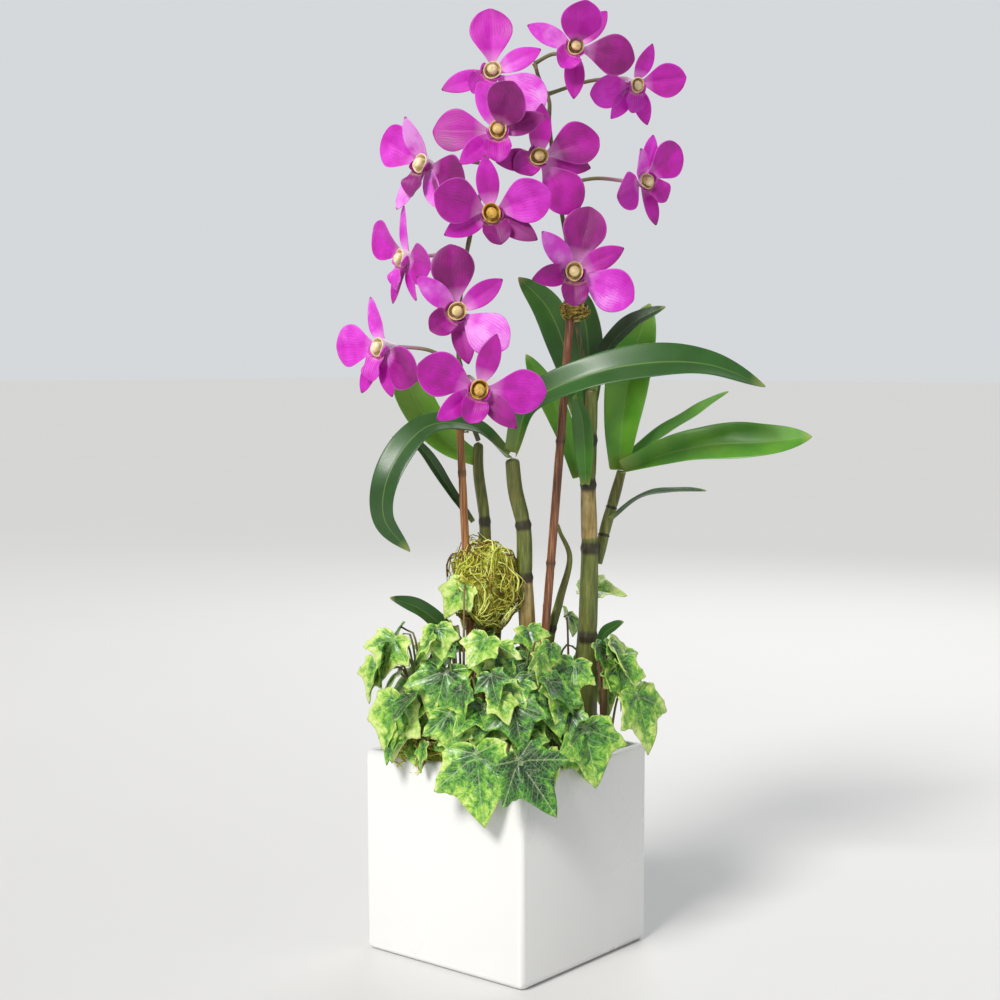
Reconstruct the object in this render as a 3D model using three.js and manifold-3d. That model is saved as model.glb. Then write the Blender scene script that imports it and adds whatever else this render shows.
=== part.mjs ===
// A potted dendrobium orchid: two flower spikes tied to bamboo stakes, standing in a white
// cube planter filled with potting mix, moss and trailing variegated ivy.
// Millimetres, +Z up. Origin: centre of the planter's underside.
import * as THREE from 'three';
import { RoundedBoxGeometry } from 'three/addons/geometries/RoundedBoxGeometry.js';
import { mergeVertices } from 'three/addons/utils/BufferGeometryUtils.js';
import Module from 'manifold-3d';

const wasm = await Module();
wasm.setup();

// Driving dimensions, in mm and degrees.
const PLANTER_SIDE = 127;
const PLANTER_WALL = 6;
const PLANTER_EDGE_RADIUS = 5;
const PLANTER_INNER_RADIUS = 3;
const SOIL_BELOW_RIM = 10;
const GAP = 0.35;
// The planting is set to face the planter's near corner, this far round from its front.
const PLANTING_TURN = 39.4;

const PETAL = { length: 38, width: 27, curl: -30, cup: 0.1, widest: 0.62, thick: 1.1, steps: 4 };
const SEPAL = { length: 31, width: 14, curl: -25, cup: 0.15, widest: 0.5, thick: 1.1, steps: 3 };
const LIP = { length: 22, width: 15, curl: -60, cup: 0.25, widest: 0.6, thick: 1.3, steps: 2 };
const TEPAL_START = 2.5;
const TEPAL_SHAPE = { blunt: 0.8, least: 0.12, straight: 0.3, parts: 12 };
// The throat's radius at each place along the way the flower faces, then the pedicel behind it.
const THROAT = [[0, -9], [1.6, -9], [3.4, -3], [5.6, 3], [6.2, 8], [4.2, 10], [0, 10]];
const PEDICEL = { from: -8, straightTo: -16, towardsSpike: 0.45, rise: 3 };
const PEDICEL_RADIUS = 1.3;
const CANE_NODE = { reach: 0.03, swell: 1.12 };
const SPIKE_RADIUS = 1.7;
const LEAF_THICKNESS = 1.4;
const LEAF_SHAPE = { base: 0.42, widens: 1.6, point: 2.2, taper: 0.75, fullest: 0.98, least: 0.06 };
const IVY_STEM_RADIUS = 1.1;
const IVY_LEAF_THICKNESS = 1.0;
// Where on its rib, by the leaf's size, a stalk meets it, and how far behind it turns to it.
const IVY_STALK_AT = -0.26;
const IVY_BEHIND = 4;
const IVY_RISE = { least: 6, share: 0.12, at: 0.6 };
const IVY_KNOT = { radius: 4.4, top: 3.4, height: 3.2, spread: 2.4 };

// Cushions of moss, and raffia bound round a stake and the spike beside it.
const MOSS = {
  ball: { centre: [-14, -6, 230], size: [22, 24, 28] },
  patch: { centre: [-50, -24, 122], size: [23, 20, 24] },
};
const TIES = {
  tie_left: { centre: [-28, -4, 332], size: [8, 11, 7] },
  tie_right: { centre: [41, -2, 400], size: [9, 11, 7] },
};

// How finely each round thing is divided: [along it, round it].
const FACETS = { cane: [15, 8], stake: [6, 8], spike: [20, 6], stalk: [6, 5], throat: 6, knot: 10 };
// A solid that cuts an open end passes it by this much.
const PAST_END = 10;

const COLOURS = {
  planter: 0xf2f1ee,
  soil: 0x3b2a1d,
  moss: 0x9aa63c,
  cane: 0x6f7434,
  stake: 0x8a4a2a,
  tie: 0x9c8b3a,
  spike: 0x5f6b34,
  leaf: 0x2f6b22,
  flower: 0xb4149a,
  ivy: 0x7fa543,
};

const SOIL_TOP = PLANTER_SIDE - SOIL_BELOW_RIM;
const ON_SOIL = SOIL_TOP + GAP;
const deg = THREE.MathUtils.degToRad;
const vec = (x, y, z) => new THREE.Vector3(x, y, z);

// --- solids -------------------------------------------------------------------------------

function solid(geometry) {
  const bare = geometry.clone();
  bare.deleteAttribute('normal');
  bare.deleteAttribute('uv');
  const merged = mergeVertices(bare, 1e-4);
  return new wasm.Manifold(new wasm.Mesh({
    numProp: 3,
    vertProperties: merged.attributes.position.array,
    triVerts: new Uint32Array(merged.index.array),
  }));
}

function geometryOf(manifold) {
  const mesh = manifold.getMesh();
  const geometry = new THREE.BufferGeometry();
  geometry.setAttribute('position', new THREE.BufferAttribute(mesh.vertProperties, mesh.numProp));
  geometry.setIndex(new THREE.BufferAttribute(mesh.triVerts, 1));
  const flat = geometry.toNonIndexed();
  flat.computeVertexNormals();
  return flat;
}

function joined(solids) {
  return solids.reduce((whole, next) => whole.add(next));
}

function biggest(manifold) {
  return manifold.decompose().sort((a, b) => b.volume() - a.volume())[0];
}

// Moves each vertex of a geometry to where place(x, y, z) says.
function reshaped(geometry, place) {
  const position = geometry.attributes.position;
  for (let i = 0; i < position.count; i += 1) {
    const to = place(position.getX(i), position.getY(i), position.getZ(i));
    position.setXYZ(i, to.x, to.y, to.z);
  }
  return geometry;
}

// A turned shape about the Z axis, from [radius, height] points.
function turned(profile, sides) {
  const points = profile.map(([radius, height]) => new THREE.Vector2(radius, height));
  return new THREE.LatheGeometry(points, sides).rotateX(Math.PI / 2);
}

// A round stem along a curve: a lathed rod, bent so that its axis follows the curve.
// radiusAt(u) is its radius at each fraction of its length.
function stem(points, radiusAt, [steps, sides]) {
  const curve = new THREE.CatmullRomCurve3(points.map((p) => vec(...p)), false, 'centripetal');
  const profile = [new THREE.Vector2(0, 0)];
  for (let i = 0; i <= steps; i += 1) {
    profile.push(new THREE.Vector2(radiusAt(i / steps), i / steps));
  }
  profile.push(new THREE.Vector2(0, 1));
  const rod = new THREE.LatheGeometry(profile, sides);
  return solid(reshaped(rod, (x, y, z) => {
    const u = Math.min(Math.max(y, 0), 1);
    const along = curve.getTangentAt(u);
    const side = vec(0.02, -1, 0.01).cross(along).normalize();
    const other = side.clone().cross(along);
    return curve.getPointAt(u).addScaledVector(side, x).addScaledVector(other, z);
  }));
}

// A thin closed blade, shaped from a box: ribAt(u) gives its middle line, its direction and
// the way its upper face looks; halfAt(u) gives its half width; fold lifts its two edges.
function blade({ ribAt, halfAt, fold, thick, steps }) {
  const slab = new THREE.BoxGeometry(1, 2, 1, steps, 2, 1);
  return solid(reshaped(slab, (x, y, z) => {
    const u = x + 0.5;
    const { point, along, face } = ribAt(u);
    const across = face.clone().cross(along).normalize();
    const half = halfAt(u);
    const lift = fold * half * Math.abs(y);
    const depth = z * thick * (1 - 0.35 * Math.abs(y));
    return point.clone().addScaledVector(across, half * y).addScaledVector(face, lift + depth);
  }));
}

// --- planter and what fills it ---------------------------------------------------------------

function roundedSquare(side, radius) {
  const h = side / 2;
  const shape = new THREE.Shape();
  shape.absarc(h - radius, h - radius, radius, 0, Math.PI / 2);
  shape.absarc(-h + radius, h - radius, radius, Math.PI / 2, Math.PI);
  shape.absarc(-h + radius, -h + radius, radius, Math.PI, 1.5 * Math.PI);
  shape.absarc(h - radius, -h + radius, radius, 1.5 * Math.PI, 2 * Math.PI);
  return shape;
}

function squareBlock(side, from, to) {
  const block = new THREE.ExtrudeGeometry(roundedSquare(side, PLANTER_INNER_RADIUS), {
    depth: to - from, bevelEnabled: false, curveSegments: 4,
  });
  return solid(block.translate(0, 0, from));
}

function planter() {
  const box = new RoundedBoxGeometry(PLANTER_SIDE, PLANTER_SIDE, PLANTER_SIDE, 2, PLANTER_EDGE_RADIUS);
  const outside = solid(box.translate(0, 0, PLANTER_SIDE / 2));
  const room = PLANTER_SIDE - 2 * PLANTER_WALL;
  const inside = squareBlock(room, PLANTER_WALL, PLANTER_SIDE + PAST_END);
  return outside.subtract(inside);
}

// The potting mix fills the planter, with a hole for each stake.
function pottingMix(holes) {
  const side = PLANTER_SIDE - 2 * PLANTER_WALL - 2 * GAP;
  const mix = squareBlock(side, PLANTER_WALL + GAP, SOIL_TOP);
  const cuts = joined(holes).rotate([0, 0, PLANTING_TURN]);
  return mix.subtract(cuts);
}

// A lumpy cushion, with its middle and its three half sizes.
function cushion({ centre, size }) {
  const ball = new THREE.IcosahedronGeometry(1, 2);
  return solid(reshaped(ball, (x, y, z) => {
    const lump = 1 + 0.07 * Math.sin(5 * x + 3 * z) * Math.cos(4 * y - 2 * z);
    return vec(
      centre[0] + size[0] * x * lump,
      centre[1] + size[1] * y * lump,
      centre[2] + size[2] * z * lump,
    );
  }));
}

// The moss on the potting mix, in the planter's left front, cut off where it meets the wall.
function mossPatch(rooms) {
  const side = PLANTER_SIDE - 2 * PLANTER_WALL - 2 * GAP;
  const inside = squareBlock(side, ON_SOIL, 2 * PLANTER_SIDE).rotate([0, 0, -PLANTING_TURN]);
  return cushion(MOSS.patch).intersect(inside).subtract(joined(rooms));
}

// --- the orchid -------------------------------------------------------------------------------
// Places in the planting: x to the right, y away from the near corner, z up.

// A cane tapers, and swells by a share of its radius close to each of its nodes.
function caneRadius(thick, thin, nodes) {
  return (u) => {
    const taper = THREE.MathUtils.lerp(thick, thin, u);
    const nearest = Math.min(...nodes.map((n) => Math.abs(u - n)));
    return nearest < CANE_NODE.reach ? taper * CANE_NODE.swell : taper;
  };
}

const CANES = {
  cane_right: {
    route: [[50, 10, ON_SOIL], [51, 10, 193], [52, 10, 249], [51, 10, 290], [52, 10, 319], [53, 12, 352]],
    thick: 7.2, thin: 3.8, nodes: [0.33, 0.57, 0.74, 0.86],
  },
  cane_middle: {
    route: [[14, -6, ON_SOIL], [13, -7, 195], [11, -8, 235], [10, -8, 267], [5, -8, 289], [3, -8, 309]],
    thick: 5.6, thin: 4.4, nodes: [0.4, 0.61, 0.78],
  },
  cane_left: {
    route: [[-14, 8, ON_SOIL], [-15, 7, 194], [-14, 7, 232], [-14, 8, 268], [-18, 9, 300], [-18, 9, 318]],
    thick: 4.6, thin: 3.2, nodes: [0.38, 0.57, 0.75],
  },
  cane_thin: {
    route: [[-7, 26, ON_SOIL], [-6, 25, 190], [-3, 25, 225], [-1, 25, 243]],
    thick: 2.4, thin: 1.8, nodes: [0.5, 0.8],
  },
  side_growth: {
    route: [[53, 12, 232], [58, 18, 244], [62, 22, 262], [68, 24, 281], [73, 26, 299]],
    thick: 3.6, thin: 3.2, nodes: [0.3, 0.6],
  },
  young_shoot: {
    route: [[26, 4, ON_SOIL], [26, 2, 190], [33, 0, 220], [39, 0, 247], [33, 0, 262], [31, 0, 268]],
    thick: 5.0, thin: 1.2, nodes: [0.35, 0.55],
  },
  cut_stub: {
    route: [[24, -9, ON_SOIL], [24, -9, 170], [24, -8, 219]],
    thick: 2.2, thin: 2.0, nodes: [0.7],
  },
};

const STAKES = {
  stake_left: { foot: [-16, -14, 20], top: [-30, -9, 345], thick: 2.5 },
  stake_right: { foot: [8, -24, 20], top: [38.5, -8, 394], thick: 2.7 },
};

const SPIKES = {
  spike_left: {
    route: [
      [-18, 9, 319], [-26, 3, 342], [-30, -2, 373], [-29, -2, 406], [-24, 0, 440],
      [-18, 2, 464], [-13, 6, 489], [-9, 10, 517], [-7, 15, 538],
    ],
  },
  spike_right: {
    route: [
      [53, 12, 353], [47, 8, 371], [43, 4, 394], [40, 6, 425], [34, 10, 459], [29, 12, 490],
      [26, 14, 518], [26, 14, 529], [20, 14, 542], [17, 14, 552],
    ],
  },
};

// Leaves: the middle line from sheath to tip, the way the upper face looks at the base and
// at the tip, the width, and how far the two halves fold up about the rib.
const LEAVES = {
  leaf_left_arching: {
    rib: [
      [0, -9, 309], [-20, -22, 328], [-48, -36, 329], [-70, -48, 302], [-73, -50, 275], [-58, -48, 255],
    ],
    base: [0, -0.6, 1], tip: [-1, -1.6, 0.2], width: 19, fold: 0.25,
  },
  leaf_right_arching: {
    rib: [[5, -12, 312], [14, -24, 342], [46, -34, 359], [84, -38, 367], [120, -38, 366], [155, -34, 353]],
    base: [-0.6, -1.2, 0.6], tip: [0.3, -0.9, 0.9], width: 24, fold: 0.3,
  },
  leaf_tall_left: {
    rib: [[46, 17, 335], [40, 20, 365], [26, 22, 401], [7, 22, 421]],
    base: [-0.5, -1, 0], tip: [-0.2, -1, 0.4], width: 20, fold: 0.3,
  },
  leaf_tall_right: {
    rib: [[50, 24, 330], [52, 26, 365], [48, 30, 400], [40, 34, 420]],
    base: [0.3, -1, 0], tip: [0, -1, 0.3], width: 18, fold: 0.3,
  },
  leaf_dark_right: {
    rib: [[56, 10, 350], [62, 8, 374], [76, 6, 390], [98, 2, 402]],
    base: [-0.6, -0.6, 0.4], tip: [-0.3, -0.6, 0.8], width: 15, fold: 0.35,
  },
  leaf_bright_upright: {
    rib: [[72, 30, 299], [74, 31, 332], [80, 32, 369], [91, 34, 405]],
    base: [-0.2, -1, 0], tip: [-0.2, -1, 0.2], width: 27, fold: 0.4,
  },
  leaf_edge_on: {
    rib: [[76, 34, 303], [93, 40, 317], [119, 44, 333], [143, 45, 349]],
    base: [-0.5, -0.7, 1], tip: [-0.5, -0.3, 1], width: 14, fold: 0.4,
  },
  leaf_broad_right: {
    rib: [[74, 24, 298], [98, 14, 309], [127, 4, 316], [158, -4, 318], [188, -8, 322]],
    base: [-0.3, -0.7, 0.7], tip: [0, -0.8, 0.5], width: 26, fold: 0.35,
  },
  leaf_low_right: {
    rib: [[66, 18, 268], [84, 12, 283], [102, 6, 287], [124, 0, 288]],
    base: [-0.3, 0, 1], tip: [0, -0.1, 1], width: 11, fold: 0.4,
  },
  leaf_pale_tip: {
    rib: [[46, 22, 295], [36, 28, 328], [24, 32, 352], [12, 34, 373]],
    base: [-0.6, -1, 0], tip: [-0.2, -1, 0.3], width: 15, fold: 0.3,
  },
  leaf_glossy: {
    rib: [[49, 1, 292], [48, -4, 314], [46, -9, 334], [41, -14, 348]],
    base: [-0.2, -1, 0.2], tip: [-0.5, -0.8, 0.4], width: 13, fold: 0.3,
  },
  leaf_left_pale: {
    rib: [[-19, 12, 306], [-36, 14, 316], [-52, 14, 334], [-64, 12, 357], [-70, 10, 377]],
    base: [0, -1, 0.3], tip: [0.3, -1, 0.2], width: 22, fold: 0.3,
  },
  leaf_left_narrow: {
    rib: [[-22, 0, 268], [-38, -4, 292], [-51, -8, 312], [-60, -11, 320], [-71, -12, 322]],
    base: [0.3, -0.6, 0.4], tip: [0, -0.7, 0.7], width: 8, fold: 0.4,
  },
  leaf_lower_left: {
    rib: [[-26, -20, 190], [-37, -22, 203], [-52, -29, 217], [-71, -38, 226]],
    base: [0.5, -0.8, 0.3], tip: [0.1, -0.7, 0.7], width: 12, fold: 0.3,
  },
  leaf_lower_right: {
    rib: [[57, 2, 186], [61, -6, 199], [72, -14, 208]],
    base: [-0.6, -0.8, 0.4], tip: [-0.2, -0.6, 0.8], width: 9, fold: 0.3,
  },
};

// A blade that is narrow at its sheath, widest before its middle, and pointed.
function leafHalfWidth(width) {
  const { base, widens, point, taper, fullest, least } = LEAF_SHAPE;
  return (u) => {
    const share = ((base + widens * u) * (1 - u ** point) ** taper) / fullest;
    return (width / 2) * Math.max(least, share);
  };
}

function orchidLeaf({ rib, base, tip, width, fold }) {
  const curve = new THREE.CatmullRomCurve3(rib.map((p) => vec(...p)), false, 'centripetal');
  const ribAt = (u) => {
    const along = curve.getTangentAt(u);
    const face = vec(...base).normalize().lerp(vec(...tip).normalize(), u);
    face.addScaledVector(along, -face.dot(along)).normalize();
    return { point: curve.getPointAt(u), along, face };
  };
  const halfAt = leafHalfWidth(width);
  return blade({ ribAt, halfAt, fold, thick: LEAF_THICKNESS, steps: 3 * rib.length - 3 });
}

// Flowers: the middle of the flower, the way it faces (degrees to the right and up), and where
// along its spike it grows. Its petals, sepals and lip are pairs of degrees: which way round
// from the right each points, seen from the flower's front, and how far it leans forward.
const FLOWERS = {
  flower_01: {
    at: [-9, -2, 543], right: 0, up: 10, size: 1, spike: 'spike_left', on: 0.99,
    petals: [[92, 12], [-36, 18]], sepals: [[27, 8], [200, 12], [262, 20]], lip: [232, 45],
  },
  flower_02: {
    at: [40, -8, 557], right: 10, up: 5, size: 0.95, spike: 'spike_right', on: 1,
    petals: [[-10, 12], [86, 64]], sepals: [[48, 6], [156, 10], [268, 12]], lip: [235, 50],
  },
  flower_03: {
    at: [79, 20, 541], right: 20, up: -20, size: 0.82, spike: 'spike_right', on: 0.9,
    petals: [[16, 34], [193, 18]], sepals: [[78, 20], [235, 20], [290, 28]], lip: [263, 40],
  },
  flower_04: {
    at: [-5, -30, 504], right: -5, up: 10, size: 1, spike: 'spike_left', on: 0.88,
    petals: [[178, 6], [62, 62]], sepals: [[10, 34], [112, 20], [225, 25]], lip: [272, 40],
  },
  flower_05: {
    at: [-48, -12, 487], right: -42, up: 5, size: 1, spike: 'spike_left', on: 0.78,
    petals: [[152, 16], [-22, 14]], sepals: [[95, 45], [238, 20], [300, 14]], lip: [262, 40],
  },
  flower_06: {
    at: [-10, -52, 455], right: 5, up: -5, size: 1, spike: 'spike_left', on: 0.62,
    petals: [[162, 34], [20, 34]], sepals: [[97, 12], [205, 28], [-30, 28]], lip: [286, 50],
  },
  flower_07: {
    at: [18, -20, 490], right: 8, up: 5, size: 1, spike: 'spike_right', on: 0.72,
    petals: [[20, 8], [-54, 8]], sepals: [[-9, 4], [88, 30], [192, 38]], lip: [212, 50],
  },
  flower_08: {
    at: [40, -26, 422], right: 0, up: 0, size: 1, spike: 'spike_right', on: 0.38,
    petals: [[76, 6], [-26, 10]], sepals: [[25, 10], [130, 30], [192, 45]], lip: [270, 40],
  },
  flower_09: {
    at: [-60, -5, 432], right: -60, up: -5, size: 0.95, spike: 'spike_left', on: 0.5,
    petals: [[150, 18], [-12, 14]], sepals: [[88, 8], [245, 20], [300, 16]], lip: [264, 40],
  },
  flower_10: {
    at: [-30, -36, 398], right: 2, up: 0, size: 1, spike: 'spike_left', on: 0.36,
    petals: [[96, 12], [-36, 30]], sepals: [[35, 10], [140, 25], [282, 20]], lip: [216, 45],
  },
  flower_11: {
    at: [-17, -62, 353], right: 5, up: -8, size: 1, spike: 'spike_left', on: 0.18,
    petals: [[158, 20], [-4, 10]], sepals: [[72, 8], [-46, 26], [214, 30]], lip: [252, 45],
  },
  flower_12: {
    at: [-74, -14, 377], right: -45, up: 0, size: 1, spike: 'spike_left', on: 0.22,
    petals: [[178, 16], [-30, 14]], sepals: [[112, 8], [240, 16], [292, 16]], lip: [266, 40],
  },
  flower_13: {
    at: [82, 4, 479], right: 38, up: -5, size: 0.88, spike: 'spike_right', on: 0.62,
    petals: [[40, 16], [200, 30]], sepals: [[78, 10], [-66, 14], [130, 40]], lip: [-35, 45],
  },
};

// A tepal leaves the flower's middle at its angle, leaning forward, and curls back to its tip.
function tepal(kind, [angle, lean]) {
  const out = vec(Math.cos(deg(angle)), Math.sin(deg(angle)), 0);
  const forward = vec(0, 0, 1);
  const { blunt, least, straight, parts } = TEPAL_SHAPE;
  const pitchAt = (u) => deg(lean + kind.curl * (u - straight));
  const ribAt = (u) => {
    const point = out.clone().multiplyScalar(TEPAL_START);
    for (let i = 0; i < parts; i += 1) {
      const pitch = pitchAt(((i + 0.5) / parts) * u);
      point.addScaledVector(out, Math.cos(pitch) * kind.length * (u / parts));
      point.addScaledVector(forward, Math.sin(pitch) * kind.length * (u / parts));
    }
    const pitch = pitchAt(u);
    const along = out.clone().multiplyScalar(Math.cos(pitch)).addScaledVector(forward, Math.sin(pitch));
    const face = forward.clone().multiplyScalar(Math.cos(pitch)).addScaledVector(out, -Math.sin(pitch));
    return { point, along, face };
  };
  const power = Math.log(0.5) / Math.log(kind.widest);
  const halfAt = (u) => (kind.width / 2) * Math.max(least, Math.sin(Math.PI * u ** power) ** blunt);
  return blade({ ribAt, halfAt, fold: kind.cup, thick: kind.thick, steps: kind.steps });
}

function facingMatrix({ at, right, up }) {
  const facing = vec(
    Math.sin(deg(right)) * Math.cos(deg(up)),
    -Math.cos(deg(right)) * Math.cos(deg(up)),
    Math.sin(deg(up)),
  );
  const side = vec(0, 0, 1).cross(facing).normalize();
  const top = facing.clone().cross(side);
  return new THREE.Matrix4().makeBasis(side, top, facing).setPosition(...at);
}

// The column and the throat around it, with the chin behind.
function throat() {
  return solid(turned(THROAT, FACETS.throat));
}

function spikeCurve(name) {
  const route = SPIKES[name].route.map((p) => vec(...p));
  return new THREE.CatmullRomCurve3(route, false, 'centripetal');
}

function flower(spec) {
  const matrix = facingMatrix(spec);
  const pieces = [throat(), tepal(LIP, spec.lip)];
  spec.petals.forEach((pose) => pieces.push(tepal(PETAL, pose)));
  spec.sepals.forEach((pose) => pieces.push(tepal(SEPAL, pose)));
  matrix.scale(vec(spec.size, spec.size, spec.size));
  const head = joined(pieces).transform(matrix.toArray());
  const root = spikeCurve(spec.spike).getPointAt(spec.on);
  const back = vec(0, 0, PEDICEL.from).applyMatrix4(matrix);
  const behind = vec(0, 0, PEDICEL.straightTo).applyMatrix4(matrix);
  const middle = behind.clone().lerp(root, PEDICEL.towardsSpike).add(vec(0, 0, PEDICEL.rise));
  const route = [back, behind, middle, root].map((p) => p.toArray());
  return head.add(stem(route, () => PEDICEL_RADIUS, FACETS.stalk));
}

// --- ivy ----------------------------------------------------------------------------------------

// Ivy: where each vine comes out of the mix, and its leaves, each with its middle, the way its
// face looks, the way its tip points, and its length.
const IVY = {
  ivy_left: {
    foot: [-50, -8],
    leaves: [
      { at: [-73, -18, 190], face: [-0.5, -1, 0.4], tip: [-0.5, -0.3, -1], size: 32 },
      { at: [-85, -12, 174], face: [-0.8, -0.6, 0.3], tip: [-0.7, -0.3, -0.8], size: 30 },
      { at: [-64, -2, 168], face: [-0.6, -0.4, 0.8], tip: [-1, 0.2, -0.5], size: 30 },
    ],
  },
  ivy_left_front: {
    foot: [-26, -44],
    leaves: [
      { at: [-40, -46, 173], face: [-0.2, -1, 0.5], tip: [-0.3, -0.5, -1], size: 40 },
      { at: [-41, -42, 202], face: [0, -1, 0.6], tip: [0.2, -0.4, -1], size: 24 },
      { at: [-34, -62, 152], face: [-0.3, -1, 0.4], tip: [0.1, -0.3, -1], size: 32 },
    ],
  },
  ivy_left_rim: {
    foot: [-62, -14],
    leaves: [
      { at: [-69, -38, 151], face: [-0.6, -1, 0.3], tip: [-0.4, -0.3, -1], size: 44 },
    ],
  },
  ivy_front: {
    foot: [-14, -56],
    leaves: [
      { at: [-17, -82, 127], face: [-0.5, -1, 0.3], tip: [0.2, -0.1, -1], size: 50 },
      { at: [-16, -66, 158], face: [0, -1, 0.5], tip: [-0.3, -0.4, -1], size: 30 },
    ],
  },
  ivy_corner: {
    foot: [3, -66],
    leaves: [
      { at: [13, -96, 130], face: [0.2, -1, 0.5], tip: [0.7, -0.2, -1], size: 46 },
      { at: [5, -74, 160], face: [-0.1, -1, 0.6], tip: [0.2, -0.4, -1], size: 34 },
    ],
  },
  ivy_right_front: {
    foot: [31, -44],
    leaves: [
      { at: [49, -60, 140], face: [0.5, -1, 0.4], tip: [0.3, -0.3, -1], size: 42 },
      { at: [26, -64, 166], face: [0.1, -1, 0.6], tip: [0.3, -0.4, -1], size: 34 },
      { at: [39, -44, 180], face: [0.2, -1, 0.6], tip: [-0.2, -0.4, -1], size: 30 },
    ],
  },
  ivy_right: {
    foot: [60, -8],
    leaves: [
      { at: [84, -18, 152], face: [0.7, -0.8, 0.4], tip: [0.4, -0.2, -1], size: 44 },
      { at: [71, -18, 174], face: [0.5, -1, 0.4], tip: [0.4, -0.4, -1], size: 32 },
      { at: [75, 12, 180], face: [0.5, -0.6, 0.9], tip: [0.8, -0.2, -0.6], size: 28 },
    ],
  },
  ivy_middle: {
    foot: [8, -42],
    leaves: [
      { at: [12, -52, 182], face: [0, -1, 0.6], tip: [-0.2, -0.4, -1], size: 34 },
      { at: [-9, -48, 186], face: [-0.2, -1, 0.6], tip: [-0.2, -0.4, -1], size: 28 },
      { at: [14, -38, 202], face: [0.2, -1, 0.7], tip: [0.3, -0.4, -1], size: 22 },
    ],
  },
  ivy_pale: {
    foot: [40, 30],
    leaves: [
      { at: [58, 28, 222], face: [0, -0.3, 1], tip: [1, -0.1, 0.1], size: 32 },
    ],
  },
  ivy_back_left: {
    foot: [-39, 34],
    leaves: [
      { at: [-58, 38, 152], face: [-0.7, 0.7, 0.5], tip: [-0.5, 0.5, -1], size: 38 },
      { at: [-34, 54, 145], face: [-0.5, 1, 0.5], tip: [-0.2, 0.5, -1], size: 34 },
      { at: [-44, 22, 178], face: [-0.6, 0.4, 0.8], tip: [-1, 0.3, -0.6], size: 32 },
    ],
  },
  ivy_back_right: {
    foot: [22, 49],
    leaves: [
      { at: [38, 64, 148], face: [0.3, 1, 0.5], tip: [0.3, 0.5, -1], size: 38 },
      { at: [6, 66, 154], face: [-0.1, 1, 0.6], tip: [-0.2, 0.5, -1], size: 32 },
      { at: [62, 42, 158], face: [0.8, 0.8, 0.5], tip: [0.6, 0.4, -1], size: 36 },
      { at: [18, 44, 176], face: [0.1, 0.9, 0.8], tip: [0.2, 0.6, -1], size: 30 },
    ],
  },
};

// Half of a five-lobed leaf: [across, along] for each point, from the stalk round to the tip.
const IVY_OUTLINE = [
  [0.16, -0.44], [0.38, -0.36], [0.36, -0.14], [0.54, 0.06], [0.28, 0.14], [0.18, 0.34],
];

function ivyLeaf({ at, face, tip, size }) {
  const outline = [vec(0, -0.34, 0)];
  IVY_OUTLINE.forEach(([x, y]) => outline.push(vec(x, y, 0)));
  outline.push(vec(0, 0.56, 0));
  [...IVY_OUTLINE].reverse().forEach(([x, y]) => outline.push(vec(-x, y, 0)));
  const shape = new THREE.Shape(outline.map((p) => new THREE.Vector2(p.x * size, p.y * size)));
  const plate = new THREE.ExtrudeGeometry(shape, { depth: IVY_LEAF_THICKNESS, bevelEnabled: false });
  const facing = vec(...face).normalize();
  const pointing = vec(...tip);
  pointing.addScaledVector(facing, -pointing.dot(facing)).normalize();
  const side = pointing.clone().cross(facing);
  const matrix = new THREE.Matrix4().makeBasis(side, pointing, facing).setPosition(...at);
  const onRib = (depth) => vec(0, IVY_STALK_AT * size, depth).applyMatrix4(matrix);
  return {
    body: solid(plate.applyMatrix4(matrix)),
    behind: onRib(-IVY_BEHIND),
    stalk: onRib(IVY_LEAF_THICKNESS / 2),
    up: facing.z,
  };
}

// A vine: its stalks fan out from a low knot on the mix, and each rises over and comes down to a
// leaf that hangs, or comes up to a leaf that looks up. With a gap it gives only the knot and the
// stalks, as the room that they need.
function ivyVine({ foot, leaves }, gap = 0) {
  const { radius, top, height, spread } = IVY_KNOT;
  const profile = [[0, -gap], [radius + gap, -gap], [top + gap, height + gap], [0, height + gap]];
  const solids = [solid(turned(profile, FACETS.knot).translate(...foot, ON_SOIL))];
  const turnTo = ({ at }) => Math.atan2(at[1] - foot[1], at[0] - foot[0]);
  const inOrder = [...leaves].sort((a, b) => turnTo(a) - turnTo(b));
  inOrder.forEach((leaf, index) => {
    const turn = turnTo(inOrder[0]) + (2 * Math.PI * index) / leaves.length;
    const out = leaves.length > 1 ? spread : 0;
    const start = vec(out * Math.cos(turn), out * Math.sin(turn), ON_SOIL + height / 2);
    start.add(vec(...foot, 0));
    const { body, behind, stalk, up } = ivyLeaf(leaf);
    const rise = IVY_RISE.least + start.distanceTo(behind) * IVY_RISE.share;
    const over = start.clone().lerp(behind, IVY_RISE.at);
    over.z = behind.z + rise * (1 - 2 * up);
    const route = [start, over, behind, stalk].map((p) => p.toArray());
    solids.push(stem(route, () => IVY_STEM_RADIUS + gap, FACETS.stalk));
    if (gap === 0) solids.push(body);
  });
  return joined(solids);
}

// --- assembly -------------------------------------------------------------------------------------

function part(name, manifold, colour, roughness) {
  const material = new THREE.MeshStandardMaterial({ color: colour, roughness, metalness: 0 });
  const mesh = new THREE.Mesh(geometryOf(manifold), material);
  mesh.name = name;
  return mesh;
}

const orchid = new THREE.Group();
const planting = new THREE.Group();
planting.rotation.z = deg(PLANTING_TURN);
orchid.add(planting);

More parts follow.
